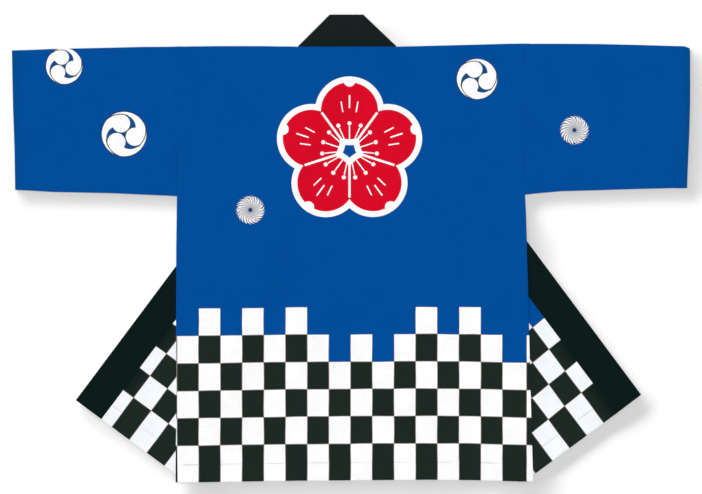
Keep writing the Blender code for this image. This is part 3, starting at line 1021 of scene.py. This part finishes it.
# %% [markdown]
# ## Nodes and colours
# Every finish below is drawn by nodes. One function adds a node with its settings and links, and
# each material gets it tied to its own tree as `add`. The colours are sRGB hex values, as a paint
# program shows them, and are turned linear here.

# %% Node helper and dyes
def add_node(tree, kind, *inputs, out=0, **settings):
    """Adds a node and returns its output.

    The kind can end with the node's operation; inputs come in order, or by name in one dict."""
    kind, *operation = kind.split()
    node = tree.nodes.new("ShaderNode" + kind)
    if operation:
        node.operation = operation[0]
    for name, value in settings.items():
        setattr(node, name, value)
    named = inputs[0] if inputs and isinstance(inputs[0], dict) else dict(enumerate(inputs))
    for key, value in named.items():
        if isinstance(value, bpy.types.NodeSocket):
            tree.links.new(value, node.inputs[key])
        else:
            node.inputs[key].default_value = value
    return node.outputs[out] if node.outputs else node


def new_material(name):
    material = bpy.data.materials.new(name)
    material.use_nodes = True
    material.node_tree.nodes.clear()
    return material, partial(add_node, material.node_tree)


def dye(code):
    """The linear colour of an sRGB hex value."""
    channels = [int(code[place:place + 2], 16) / 255 for place in (1, 3, 5)]
    linear = [value / 12.92 if value <= 0.04045 else ((value + 0.055) / 1.055) ** 2.4
              for value in channels]
    return (*linear, 1.0)


Ramp = namedtuple("Ramp", "start end low high")       # a value from start to end gives low to high
BLUE = dye("#004C98")
DOUBLED_AND_SHADED_BLUE = dye("#004A80")     # doubled cloth, and painted shade at the cuff's edge
RED = dye("#D50A27")
WHITE = dye("#FBFBFB")
# painted shade: the back's white drawn darker and bluer for the turned corners of the fronts
FLAP_WHITE_IN_SHADE = dye("#F3F7FB")
CHECK_BLACK = dye("#1D2823")
BAND_BLACK = dye("#091919")
MISPRINT = dye("#8C8079")      # thin dark line where two printed squares overlap
UNDYED = dye("#D9DEE4")
print("blue in linear light:", [round(value, 3) for value in BLUE[:3]])

# %% [markdown]
# ## Printed figures
# The three commas and the turned chrysanthemum are old, common ornaments. Each is drawn in its
# own round space: a Mapping node moves and scales the cut so that the figure's rim is at
# distance 1, and then a few comparisons of distance and angle say what is white.

# %% Three commas in a circle
THIRD = math.tau / 3
COMMA_TURN = math.radians(106)
COMMA_HEAD, COMMA_HEAD_REACH = 0.402, 0.492
TAIL_START = math.radians(46.5)          # where a tail's inner edge leaves its head
TAIL_INNER, TAIL_SLOPE, TAIL_CURVE = 0.612, 0.380, -0.124
TIP_START, TIP_INNER, TIP_SLOPE = math.radians(102.5), 0.866, 0.163
LINE_BETWEEN = 0.022                     # half of the thin line beside a tail's tip
LINE_EARLY = 0.20                        # radians before the tip where it starts
RIM, OUTLINE, OUTLINE_INK = 0.992, 0.050, 0.6     # a thin half-dark line round the white


def round_space(add, cut, centre, radius, turn):
    """Place, distance and angle in a circle of radius 1 about a centre on the cut."""
    place = add("Mapping", {"Vector": cut, "Location": (*centre, 0.0), "Scale": (radius,) * 3,
                            "Rotation": (0.0, 0.0, turn)}, vector_type="TEXTURE")
    x, y = add("SeparateXYZ", place).node.outputs[:2]
    return place, add("VectorMath LENGTH", place, out=1), add("Math ARCTAN2", y, x)


def three_commas(add, cut, centre, radius):
    """Masks of the circle, of the thin dark lines in it and of the commas."""
    place, reach, angle = round_space(add, cut, centre, radius, COMMA_TURN)
    past = add("Math FLOORED_MODULO", angle, THIRD)
    nearest = 1.0
    for turn in range(3):
        head = [COMMA_HEAD_REACH * way(turn * THIRD) for way in (math.cos, math.sin)]
        off = add("VectorMath DISTANCE", place, (*head, 0.0), out=1)
        nearest = add("Math MINIMUM", nearest, off)
    heads = add("Math LESS_THAN", nearest, COMMA_HEAD)
    along = add("Math SUBTRACT", past, TAIL_START)
    bend = add("Math MULTIPLY_ADD", along, TAIL_CURVE, TAIL_SLOPE)
    inner = add("Math MULTIPLY_ADD", bend, along, TAIL_INNER)
    late = add("Math MULTIPLY_ADD", past, TIP_SLOPE, TIP_INNER - TIP_SLOPE * TIP_START)
    tail = add("Math GREATER_THAN", reach, add("Math MINIMUM", inner, late))
    tip = add("Math ADD", late, TIP_SLOPE * THIRD)
    line = add("Math COMPARE", reach, tip, LINE_BETWEEN)
    start = add("Math GREATER_THAN", past, TIP_START - LINE_EARLY)
    beside_tip = add("Math COMPARE", reach, late, LINE_BETWEEN)
    line = add("Math MAXIMUM", line, add("Math MULTIPLY", beside_tip, start))
    shape = add("Math SUBTRACT", add("Math MAXIMUM", heads, tail), line, use_clamp=True)
    rim = add("Math LESS_THAN", reach, RIM)
    thin = add("Math MULTIPLY", add("Math MAXIMUM", start, line), rim)
    outline = add("Math COMPARE", reach, RIM + OUTLINE / 2, OUTLINE / 2)
    dark = add("Math MULTIPLY_ADD", outline, OUTLINE_INK, thin, use_clamp=True)
    return rim, dark, add("Math MULTIPLY", shape, rim)


print("gap between two commas' heads, share of the radius:",
      round(COMMA_HEAD_REACH * math.sqrt(3) - 2 * COMMA_HEAD, 3))

# %% Turned chrysanthemum
BLADES = 24
BLADE_TWIST = 0.84            # radians from the middle to the rim
BLADE_ROOT, BLADE_TIP = 0.80, 0.19
BLADE_UNEVEN, UNEVEN_SCALE = 0.34, 4.5        # radians, and waves to a radius
BLADE_LINE, LINE_ROOT = 0.50, -0.09           # the lines between are wider towards the rim
LINE_INK = Ramp(0.35, 0.6, 0.65, 1.0)         # a small print takes its ink unevenly
ROOT_GREY, SIDE_GREY = Ramp(0.75, 0.15, 0.15, 1.0), Ramp(0.50, 1.0, 0.0, 0.65)
EYE, TIP_OUTLINE = 0.14, 0.05


def turned_chrysanthemum(add, cut, centre, radius):
    """Masks of its eye and rim, of its blades and of the lines between, and how grey they are."""
    _, reach, angle = round_space(add, cut, centre, radius, 0.0)
    uneven = add("TexNoise", {"Vector": cut, "Scale": UNEVEN_SCALE / radius, "Detail": 1.0})
    off = add("Math SUBTRACT", uneven, 0.5)
    angle = add("Math MULTIPLY_ADD", off, BLADE_UNEVEN, angle)
    twisted = add("Math MULTIPLY_ADD", reach, -BLADE_TWIST, angle)
    turns = add("Math MULTIPLY", twisted, BLADES / math.tau)
    blade = add("Math FLOORED_MODULO", turns, 1.0)
    limit = add("Math MULTIPLY_ADD", blade, BLADE_TIP, BLADE_ROOT)
    inside = add("Math LESS_THAN", reach, limit)
    mask = add("Math MULTIPLY", inside, add("Math GREATER_THAN", reach, EYE))
    line = add("Math LESS_THAN", blade, add("Math MULTIPLY_ADD", reach, BLADE_LINE, LINE_ROOT))
    line = add("Math MULTIPLY", line, add("MapRange", uneven, *LINE_INK))
    hollow = add("MapRange", reach, *ROOT_GREY)
    grey = add("MapRange", blade, *SIDE_GREY)
    edge = add("Math LESS_THAN", reach, add("Math ADD", limit, TIP_OUTLINE))
    edge = add("Math MULTIPLY", edge, OUTLINE_INK)
    edge = add("Math MAXIMUM", edge, add("Math LESS_THAN", reach, EYE))
    return edge, mask, line, add("Math MAXIMUM", grey, hollow)


print("degrees to a blade:", 360 / BLADES)

# %% [markdown]
# ## The blossom
# A large red blossom with a white border stands in the middle of the back. Five petals are one
# petal: the angle is folded back and forth, so that every petal reads the same few shapes.

# %% Blossom
FIFTH = math.tau / 5
BLOSSOM = 0.1340              # its radius, in metres; the sizes below are shares of it
BORDER = 0.0110 / BLOSSOM
PETAL, PETAL_REACH = 0.40, 0.56
NOTCH, NOTCH_REACH = 0.081, PETAL_REACH + PETAL + 0.02
STAMENS = 15
STAMEN = (0.07, 0.35, 0.0085)           # start, end and half its width
ANTHER, ANTHER_REACH = 0.028, 0.385
Ray = namedtuple("Ray", "angle start end half_width")
RAYS = table(Ray, (FIFTH / 2, 0.20, 0.66, 0.016), (0.0, 0.60, 0.78, 0.010),
             (0.17, 0.55, 0.70, 0.009))


def folded(add, reach, angle, width):
    """Angle and place after the circle is folded into one wedge of twice this width."""
    off = add("Math PINGPONG", angle, width)
    point = add("CombineXYZ", add("Math COSINE", off), add("Math SINE", off))
    return off, add("VectorMath SCALE", {0: point, "Scale": reach})


def stroke(add, reach, off, start, end, half_width):
    """Mask of a straight line that runs outwards beside an angle."""
    thin = add("Math LESS_THAN", add("Math MULTIPLY", off, reach), half_width)
    long = add("Math COMPARE", reach, (start + end) / 2, (end - start) / 2)
    return add("Math MULTIPLY", thin, long)


def blossom(add, cut, centre):
    """Masks of the border, of the petals and of the white lines on them."""
    _, reach, angle = round_space(add, cut, centre, BLOSSOM, math.pi / 2)
    off, place = folded(add, reach, angle, FIFTH / 2)
    edge = add("VectorMath DISTANCE", place, (PETAL_REACH, 0.0, 0.0), out=1)
    edge = add("Math SUBTRACT", edge, PETAL)
    notch = add("VectorMath DISTANCE", place, (NOTCH_REACH, 0.0, 0.0), out=1)
    edge = add("Math MAXIMUM", edge, add("Math SUBTRACT", NOTCH, notch))
    off_stamen, near_stamen = folded(add, reach, angle, math.pi / STAMENS)
    lines = stroke(add, reach, off_stamen, *STAMEN)
    for ray in RAYS:
        away = add("Math ABSOLUTE", add("Math SUBTRACT", off, ray.angle))
        lines = add("Math MAXIMUM", lines, stroke(add, reach, away, *ray[1:]))
    anther = add("VectorMath DISTANCE", near_stamen, (ANTHER_REACH, 0.0, 0.0), out=1)
    lines = add("Math MAXIMUM", lines, add("Math LESS_THAN", anther, ANTHER))
    return add("Math LESS_THAN", edge, BORDER), add("Math LESS_THAN", edge, 0.0), lines


print("blossom across its petals in mm:", round(2000 * BLOSSOM * (PETAL_REACH + PETAL)))

# %% [markdown]
# ## Checks along the hem
# Black and white squares run along the hem of the back and of both fronts, like paving. The row
# at the hem is taller, and the highest rows leave some squares blue. Rows and columns are
# counted with Floor, and their sum says which squares are black.

# %% Checks
Checks = namedtuple("Checks", "first wide tall hem slant stretch white_on last bare")
CHECK_ROWS = 5                # above the hem row; the highest has white squares only
BARE_FROM = 3                 # the row from which some columns stay blue
LINE = 0.0011
WOBBLE, WOBBLE_LENGTH = 0.0016, 0.055         # the blocks aren't printed quite true
LAST_COLUMN = 0.8             # of a column: how far before the last one the stretch begins
SAME = 0.1                    # whole numbers this close are equal

BACK_CHECKS = Checks(at_pixel(177.1, 0)[0], 0.04066, 0.05156, at_pixel(0, 445.9)[1], 0.0, 0.12,
                     1, 16, (7, 9, 15))
LEFT_CHECKS = Checks(-0.0169, 0.0408, 0.0515, 0.0682, 0.0, 0.0, 1, 5, ())
RIGHT_CHECKS = Checks(-0.0120, 0.0398, 0.0508, 0.0720, 0.0415, 0.0, 0, 7, (0,))


def check_space(add, cut, checks):
    """Places across and up in squares, with the blocks' wobble, slant and stretch."""
    shift = add("TexNoise", {"Vector": cut, "Scale": 1 / WOBBLE_LENGTH, "Detail": 0.0}, out=1)
    shift = add("VectorMath SUBTRACT", shift, (0.5, 0.5, 0.5))
    shift = add("VectorMath SCALE", {0: shift, "Scale": WOBBLE})
    square = add("Mapping", {"Vector": add("VectorMath ADD", cut, shift),
                             "Location": (checks.first, checks.hem, 0.0),
                             "Scale": (checks.wide, checks.tall, 1.0)}, vector_type="TEXTURE")
    across, up = add("SeparateXYZ", square).node.outputs[:2]
    up = add("Math MULTIPLY_ADD", across, checks.slant * checks.wide / checks.tall, up)
    late = add("Math SUBTRACT", across, checks.last - LAST_COLUMN)
    late = add("Math MAXIMUM", late, 0.0)
    across = add("Math MULTIPLY_ADD", late, -checks.stretch, across)
    return add("Clamp", across, 0.0, checks.last + 0.5), up


def hem_checks(add, cut, checks):
    """Masks of the printed squares, of the white ones and of the thin lines round them."""
    across, up = check_space(add, cut, checks)
    column = add("Math FLOOR", across)
    row = add("Math MAXIMUM", add("Math FLOOR", up), -1.0)
    odd = add("Math FLOORED_MODULO", add("Math ADD", column, row), 2.0)
    white = add("Math COMPARE", odd, float(checks.white_on), SAME)
    rows_full = add("Math LESS_THAN", up, CHECK_ROWS - 1.0)
    rows_white = add("Math MULTIPLY", add("Math LESS_THAN", up, float(CHECK_ROWS)), white)
    printed = add("Math MAXIMUM", rows_full, rows_white)
    high = add("Math GREATER_THAN", up, float(BARE_FROM))
    for bare in checks.bare:
        bare = add("Math MULTIPLY", add("Math COMPARE", column, float(bare), SAME), high)
        printed = add("Math SUBTRACT", printed, bare, use_clamp=True)
    beside, below = [add("Math LESS_THAN", add("Math PINGPONG", way, 0.5), LINE / 2 / size)
                     for way, size in ((across, checks.wide), (up, checks.tall))]
    below = add("Math MULTIPLY", below, add("Math GREATER_THAN", up, -0.5))
    line = add("Math MAXIMUM", beside, below)
    return printed, white, add("Math MULTIPLY", line, printed)


print("squares of the back in mm:", round(BACK_CHECKS.wide * 1000), round(BACK_CHECKS.tall * 1000))

# %% [markdown]
# ## Printed cotton
# The coat is cotton sheeting, a plain weave, dyed and printed with pigment: matt, with a faint
# fuzz that shows as sheen at a low angle. Its threads are half a millimetre apart, too fine to
# show with the whole coat in view, so what is seen at that distance is the unevenness of the
# yarn, which is drawn as long faint streaks. The inside is paler, because the dye only half
# comes through.

# %% Cotton sheeting
THREAD_PITCH = 0.0006         # 0.5 mm in the real cloth; drawn a little coarser
YARN = (1 / 0.026, 1 / 0.0022)                # streaks of uneven yarn, coarser than real ones
PATCH = 0.090                 # slow change of shade over the cloth
YARN_SHADE, PATCH_SHADE = Ramp(0.7, 1.3, 0.965, 1.035), Ramp(0.3, 0.7, 0.985, 1.015)
FUZZ = {"Sheen Weight": 0.01, "Sheen Roughness": 0.5}
COTTON = {"Roughness": 0.86, "Specular IOR Level": 0.02, **FUZZ}
COTTON_BUMP, COTTON_DEPTH, WEAVE = 0.6, 0.00018, 0.35


def shade(add, colour, value, ramp):
    """Darkens and lightens a colour by a value."""
    strength = add("MapRange", value, *ramp)
    return add("Mix", {0: 1.0, 6: colour, 7: strength}, out=2, data_type="RGBA",
               blend_type="MULTIPLY")


def yarn(add, cut, scale):
    place = add("Mapping", {"Vector": cut, "Scale": (*scale, 1.0)})
    return add("TexNoise", {"Vector": place, "Scale": 1.0, "Detail": 2.0})


def finish(add, colour, height, bump, depth, look):
    """Joins a colour and a height in one shader with the look of its material."""
    normal = add("Bump", {"Strength": bump, "Distance": depth, "Height": height})
    shader = add("BsdfPrincipled", {"Base Color": colour, "Normal": normal, **look})
    add("OutputMaterial", shader)


def cotton_surface(add, cut, colour):
    """Shader of woven cotton: uneven yarn in the colour, weave and yarn in the bump."""
    uneven = add("Math ADD", yarn(add, cut, YARN), yarn(add, cut, YARN[::-1]))
    colour = shade(add, colour, uneven, YARN_SHADE)
    patches = add("TexNoise", {"Vector": cut, "Scale": 1 / PATCH, "Detail": 1.0})
    colour = shade(add, colour, patches, PATCH_SHADE)
    weave = 1.0
    for way in add("SeparateXYZ", cut).node.outputs[:2]:
        wave = add("Math SINE", add("Math MULTIPLY", way, math.tau / THREAD_PITCH))
        weave = add("Math MULTIPLY", wave, weave)
    height = add("Math MULTIPLY_ADD", weave, WEAVE, uneven)
    finish(add, colour, height, COTTON_BUMP, COTTON_DEPTH, COTTON)


print("threads to a centimetre:", round(0.01 / THREAD_PITCH))

# %% Printing figures and checks
COMMA_EDGE, COMMA_LINE = dye("#114A80"), dye("#34302F")
EYE_BLUE, BLADE_GREY, BLADE_DARK = dye("#1C3F6E"), dye("#A5A6B0"), dye("#38322F")
# painted shade of the ridge where the turned-up hem ends: a faint uneven grey line
HEM_SHADE_GREY = dye("#E7E6E9")
HEM_SHADE_WIDTH, HEM_SHADE_PATCH, HEM_SHADE_STRENGTH = 0.0022, 0.045, Ramp(0.35, 0.62, 0.0, 1.0)
Figure = namedtuple("Figure", "kind column row radius")


def print_over(add, colour, *layers):
    """Prints inks one over another; each layer is a mask and its ink."""
    for mask, ink in layers:
        colour = add("Mix", {0: mask, 6: colour, 7: ink}, out=2, data_type="RGBA")
    return colour


def print_commas(add, cut, colour, centre, radius):
    masks = three_commas(add, cut, centre, radius)
    return print_over(add, colour, *zip(masks, (COMMA_EDGE, COMMA_LINE, WHITE)))


def print_chrysanthemum(add, cut, colour, centre, radius):
    edge, mask, line, grey = turned_chrysanthemum(add, cut, centre, radius)
    ink = print_over(add, WHITE, (grey, BLADE_GREY), (line, BLADE_DARK))
    return print_over(add, colour, (edge, EYE_BLUE), (mask, ink))


def print_figures(add, cut, colour, figures):
    for figure in figures:
        centre = at_pixel(figure.column, figure.row)
        colour = figure.kind(add, cut, colour, centre, metres(figure.radius))
    return colour


def print_blossom(add, cut, colour, centre):
    border, petals, lines = blossom(add, cut, centre)
    lines = add("Math MULTIPLY", lines, petals)
    return print_over(add, colour, (border, WHITE), (petals, RED), (lines, WHITE))


def print_checks(add, cut, colour, checks, white_ink, black_ink=CHECK_BLACK):
    printed, white, line = hem_checks(add, cut, checks)
    ink = print_over(add, black_ink, (white, white_ink))
    return print_over(add, colour, (printed, ink), (line, MISPRINT))


def painted_hem_shade(add, cut, colour, level):
    """Painted shade: a faint uneven grey line along the ridge where the turned-up hem ends."""
    up = add("SeparateXYZ", cut).node.outputs[1]
    line = add("Math COMPARE", up, level, HEM_SHADE_WIDTH / 2)
    patches = add("TexNoise", {"Vector": cut, "Scale": 1 / HEM_SHADE_PATCH, "Detail": 1.0})
    line = add("Math MULTIPLY", line, add("MapRange", patches, *HEM_SHADE_STRENGTH))
    return add("Mix", {0: line, 6: colour, 7: HEM_SHADE_GREY}, out=2, data_type="RGBA",
               blend_type="MULTIPLY")


BACK_FIGURES = table(Figure, (print_commas, 477.0, 79.1, 20.2),
                     (print_chrysanthemum, 250.4, 210.3, 14.9))
LEFT_FIGURES = table(Figure, (print_commas, 64.3, 66.1, 18.1), (print_commas, 124.2, 134.1, 22.4))
RIGHT_FIGURES = table(Figure, (print_chrysanthemum, 574.4, 130.2, 14.9))
BLOSSOM_CENTRE = at_pixel(349.5, 151.0)
print("small figures:", len(BACK_FIGURES) + len(LEFT_FIGURES) + len(RIGHT_FIGURES))

# %% What is printed on each piece
DARKER_BESIDE_BAND = Ramp(0.0, 0.024, 0.8, 0.0)    # the checks' black is drawn darker beside the band, towards the band's black
CUFF_SHADE_REACH, CUFF_SHADE_SHARE = 0.026, 0.92    # deeper blue of the doubled cuff, with painted shade towards its edge


def draw_back(add, cut, colour):
    colour = print_figures(add, cut, colour, BACK_FIGURES)
    colour = print_blossom(add, cut, colour, BLOSSOM_CENTRE)
    colour = print_checks(add, cut, colour, BACK_CHECKS, WHITE)
    # painted shade along the end of the turned-up hem
    return painted_hem_shade(add, cut, colour, BACK_HEM[0].y + HEM)


def draw_front(checks, add, cut, colour):
    from_seam = add("SeparateXYZ", cut).node.outputs[0]
    black = print_over(add, CHECK_BLACK, (add("MapRange", from_seam, *DARKER_BESIDE_BAND), BAND_BLACK))
    return painted_hem_shade(add, cut, print_checks(add, cut, colour, checks, FLAP_WHITE_IN_SHADE, black), HEM)


def draw_sleeve(side, figures, add, cut, colour):
    cuff = CUFF[side.name][-1].x
    reach = add("SeparateXYZ", cut).node.outputs[0]
    # painted shade: the cuff's deeper blue grows towards its rounded edge
    doubled_and_shaded = add("MapRange", reach, cuff - side.side * CUFF_SHADE_REACH, cuff, 0.0, CUFF_SHADE_SHARE)
    colour = print_over(add, colour, (add("Math POWER", doubled_and_shaded, 2.0), DOUBLED_AND_SHADED_BLUE))
    return print_figures(add, cut, colour, figures)


draw_left_front = partial(draw_front, LEFT_CHECKS)
draw_right_front = partial(draw_front, RIGHT_CHECKS)
draw_left_sleeve = partial(draw_sleeve, LEFT, LEFT_FIGURES)
draw_right_sleeve = partial(draw_sleeve, RIGHT, RIGHT_FIGURES)
print("deeper blue at the cuffs in mm:", CUFF_SHADE_REACH * 1000)

# %% Outside and inside of each piece
DYE_THROUGH = 0.45            # how much of the print shows on the inside


def printed_cotton(name, draw, inside=False):
    """Blue cotton with what draw prints on it; the inside is a paler print."""
    material, add = new_material(name)
    cut = add("UVMap", uv_map=CUT_MAP)
    colour = draw(add, cut, BLUE)
    if inside:
        colour = print_over(add, UNDYED, (DYE_THROUGH, colour))
    cotton_surface(add, cut, colour)
    return material


for piece, name, draw in ((back, "back", draw_back), (front_left, "left front", draw_left_front),
                          (front_right, "right front", draw_right_front),
                          (sleeve_left, "left sleeve", draw_left_sleeve),
                          (sleeve_right, "right sleeve", draw_right_sleeve)):
    piece.data.materials[0] = printed_cotton(f"{name} printed cotton", draw)
    piece.data.materials[1] = printed_cotton(f"{name} inside of printed cotton", draw, inside=True)
    print(name, "nodes in its print:", len(piece.data.materials[0].node_tree.nodes))

# %% [markdown]
# ## Band and thread
# The band is black cotton twill: its fine diagonal ribs catch a little more light than the
# printed cloth. Its thread and that of the cuffs is dyed polyester, smooth and slightly shiny.
# The hems are sewn with clear nylon thread, which hardly shows on any colour.

# %% Black twill
TWILL_PITCH = 0.0011          # real ribs are 0.6 mm apart; drawn coarser
TWILL = {"Roughness": 0.8, "Specular IOR Level": 0.03, **FUZZ}
TWILL_BUMP, TWILL_DEPTH, RIB = 0.5, 0.0002, 0.4
TWILL_SHADE = Ramp(0.3, 0.7, 0.9, 1.1)
NECK_LIGHTER_BLACK = dye("#1A2020")    # the band is drawn a little lighter at the neck, most at its top edge
LIGHTER_ALONG = Ramp(NECK_WIDTH * 0.4, NECK_WIDTH * 1.4, 1.0, 0.0)
LIGHTER_UP = Ramp(0.0, BAND_WIDTH, 0.5, 1.0)


def black_twill(name):
    material, add = new_material(name)
    cut = add("UVMap", uv_map=CUT_MAP)
    along, up = add("SeparateXYZ", cut).node.outputs[:2]
    turn = add("Math MULTIPLY", add("Math ADD", along, up), math.tau / TWILL_PITCH)
    streaks = yarn(add, cut, YARN)
    away = add("Math ABSOLUTE", add("Math SUBTRACT", along, NECK_CENTRE))
    lighter_part = add("MapRange", away, *LIGHTER_ALONG, interpolation_type="SMOOTHSTEP")
    lighter_part = add("Math MULTIPLY", lighter_part, add("MapRange", up, *LIGHTER_UP))
    colour = print_over(add, BAND_BLACK, (lighter_part, NECK_LIGHTER_BLACK))
    colour = shade(add, colour, streaks, TWILL_SHADE)
    height = add("Math MULTIPLY_ADD", add("Math SINE", turn), RIB, streaks)
    finish(add, colour, height, TWILL_BUMP, TWILL_DEPTH, TWILL)
    return material


band.data.materials[0] = band.data.materials[1] = black_twill("black cotton twill")
print("ribs of the twill to a centimetre:", round(0.01 / TWILL_PITCH))

# %% Sewing thread
THREAD_LOOK = {"Roughness": 0.5, "Specular IOR Level": 0.2}
THREAD_BUMP, THREAD_DEPTH, THREAD_TWIST = 0.4, 0.0001, 2500.0
THREAD_SHADE = Ramp(0.3, 0.7, 0.9, 1.05)
CLEAR = dye("#E2E2E6")
HEM_ROWS = {"back_hem_stitches": ("the back", draw_back),
            "front_left_hem_stitches": ("the left front", draw_left_front),
            "front_right_hem_stitches": ("the right front", draw_right_front)}


def thread(name, code=None, draw=None):
    """Dyed polyester thread, or clear nylon that takes the colour of the print it lies on."""
    material, add = new_material(name)
    if draw:
        below = draw(add, add("UVMap", uv_map=CUT_MAP), BLUE)
        colour = add("Mix", {0: 1.0, 6: below, 7: CLEAR}, out=2, data_type="RGBA",
                     blend_type="MULTIPLY")
    else:
        colour = dye(code)
    place = add("TexCoord", out=3)
    twist = add("TexNoise", {"Vector": place, "Scale": THREAD_TWIST, "Detail": 1.0})
    colour = shade(add, colour, twist, THREAD_SHADE)
    finish(add, colour, twist, THREAD_BUMP, THREAD_DEPTH, THREAD_LOOK)
    return material


threads = {name: thread(f"clear thread on {where}", draw=draw)
           for name, (where, draw) in HEM_ROWS.items()}
threads["band_stitches"] = thread("black polyester thread", "#12181A")
threads["cuff_left_stitches"] = thread("blue polyester thread", "#0A4C94")
threads["cuff_right_stitches"] = threads["cuff_left_stitches"]
for name, row in rows.items():
    row.data.materials.clear()
    row.data.materials.append(threads[name])
    print(name, "in", threads[name].name)

# %% [markdown]
# ## Floor and light
# The coat lies on a plain pale floor. A broad light high above gives an even tone without glare,
# and a key light from the upper left draws the folds; it lights the cloth only. Five low lights
# in a fan skim the floor from the same side and light nothing else. They give the short soft
# shadow to the lower right, and the cloth keeps the even look it has in a bright room.

# %% Floor
FLOOR_SIZE, FLOOR_BELOW = 14.0, 0.0001
bpy.ops.mesh.primitive_plane_add(size=FLOOR_SIZE, location=(0.0, 0.0, 0.0))
floor = bpy.context.object
floor.name = "floor"
floor.data.transform(Matrix.Translation((0.0, 0.0, -FLOOR_BELOW)))
painted, add = new_material("pale painted board")
add("OutputMaterial", add("BsdfPrincipled", {"Base Color": dye("#DFDFDF"), "Roughness": 0.9,
                                             "Specular IOR Level": 0.0}))
floor.data.materials.append(painted)
print("floor in metres:", FLOOR_SIZE)

# %% Lights and world
ABOVE, ABOVE_SIZE = 1.83, 50.0                       # strength, and size in degrees
KEY, KEY_SIZE = 0.95, 14.0
KEY_FROM, KEY_ELEVATION = 135.0, 32.0
ROOM = 0.30
SKIM, SKIM_ELEVATION, SKIM_SIZE = 1.59, 4.2, 3.2
SKIM_FAN = ((103.0, 0.16), (119.0, 0.24), (135.0, 0.30), (151.0, 0.20), (167.0, 0.10))
LIGHT_DISTANCE = 9.0


def sun_from(name, azimuth, elevation, strength, size, lit=None):
    """A sun that faces the middle of the coat from a direction in degrees, and what it lights."""
    light = bpy.data.lights.new(name, "SUN")
    light.energy = strength
    light.angle = math.radians(size)
    lamp = bpy.data.objects.new(name, light)
    azimuth, elevation = math.radians(azimuth), math.radians(elevation)
    flat = LIGHT_DISTANCE * math.cos(elevation)
    lamp.location = (flat * math.cos(azimuth), flat * math.sin(azimuth),
                     LIGHT_DISTANCE * math.sin(elevation))
    lamp.rotation_euler = (-lamp.location).to_track_quat("-Z", "Y").to_euler()
    bpy.context.scene.collection.objects.link(lamp)
    if lit:
        lamp.light_linking.receiver_collection = lit


def lit_group(name, pieces):
    group = bpy.data.collections.new(name)
    for piece in pieces:
        group.objects.link(piece)
    return group


cloth_only = lit_group("lit_by_the_key", [back, front_left, front_right, sleeve_left, sleeve_right,
                                          band, *rows.values()])
floor_only = lit_group("lit_by_the_skimming_light", [floor])
sun_from("light_above", 0.0, 90.0, ABOVE, ABOVE_SIZE)
sun_from("light_upper_left", KEY_FROM, KEY_ELEVATION, KEY, KEY_SIZE, cloth_only)
for azimuth, share in SKIM_FAN:
    sun_from(f"light_on_the_floor_{azimuth:.0f}", azimuth, SKIM_ELEVATION,
             SKIM * share / math.sin(math.radians(SKIM_ELEVATION)), SKIM_SIZE, floor_only)
world = bpy.data.worlds.new("pale room")
world.use_nodes = True
background = world.node_tree.nodes["Background"]
background.inputs["Color"].default_value = (1.0, 1.0, 1.0, 1.0)
background.inputs["Strength"].default_value = ROOM
bpy.context.scene.world = world
bpy.context.scene.view_settings.view_transform = "Standard"
print("lights:", len(bpy.data.lights))

# %% [markdown]
# ## Joining it to the frame
# Every piece rides on the coat's one body and takes the place of its solid, and the stitches go
# with the sheet that they hold.

# %% Ride and replace
LEFT_FRONT_CUT, RIGHT_FRONT_CUT = (0.2301, 0.8193), (0.2570, 0.8272)
FRONTS = ["front_left_cloth", "front_right_cloth"]
back_cut = (low_right - low_left,
            back_top(NECK_CENTRE + NECK_WIDTH) - BACK_HEM[0].y + math.pi * LAYER_STEP / 2)
Cloth = namedtuple("Cloth", "piece node slot flat area held rests_on row")
cloths = table(
    Cloth,
    (back, "back", "body_cotton", back_cut, back_area, "laid", [*FRONTS, "collar_band_cloth"],
     "back_hem_stitches"),
    (front_left, "front_left", "body_cotton", LEFT_FRONT_CUT, front_left_area, "folded", ["floor"],
     "front_left_hem_stitches"),
    (front_right, "front_right", "body_cotton", RIGHT_FRONT_CUT, front_right_area, "folded",
     ["floor"], "front_right_hem_stitches"),
    (sleeve_left, "sleeve_left", "sleeve_cotton", (left_tube.girth, left_tube.length),
     sleeve_left_area, "laid", ["floor"], "cuff_left_stitches"),
    (sleeve_right, "sleeve_right", "sleeve_cotton", (right_tube.girth, right_tube.length),
     sleeve_right_area, "laid", ["floor"], "cuff_right_stitches"),
    (band, "collar_band", "band_cotton", (BAND_WIDTH, strip_length), band_area, "folded", FRONTS,
     "band_stitches"))
for cloth in cloths:
    row = rows[cloth.row]
    for piece in (cloth.piece, row):
        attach(piece, "root")
    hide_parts(cloth.node)
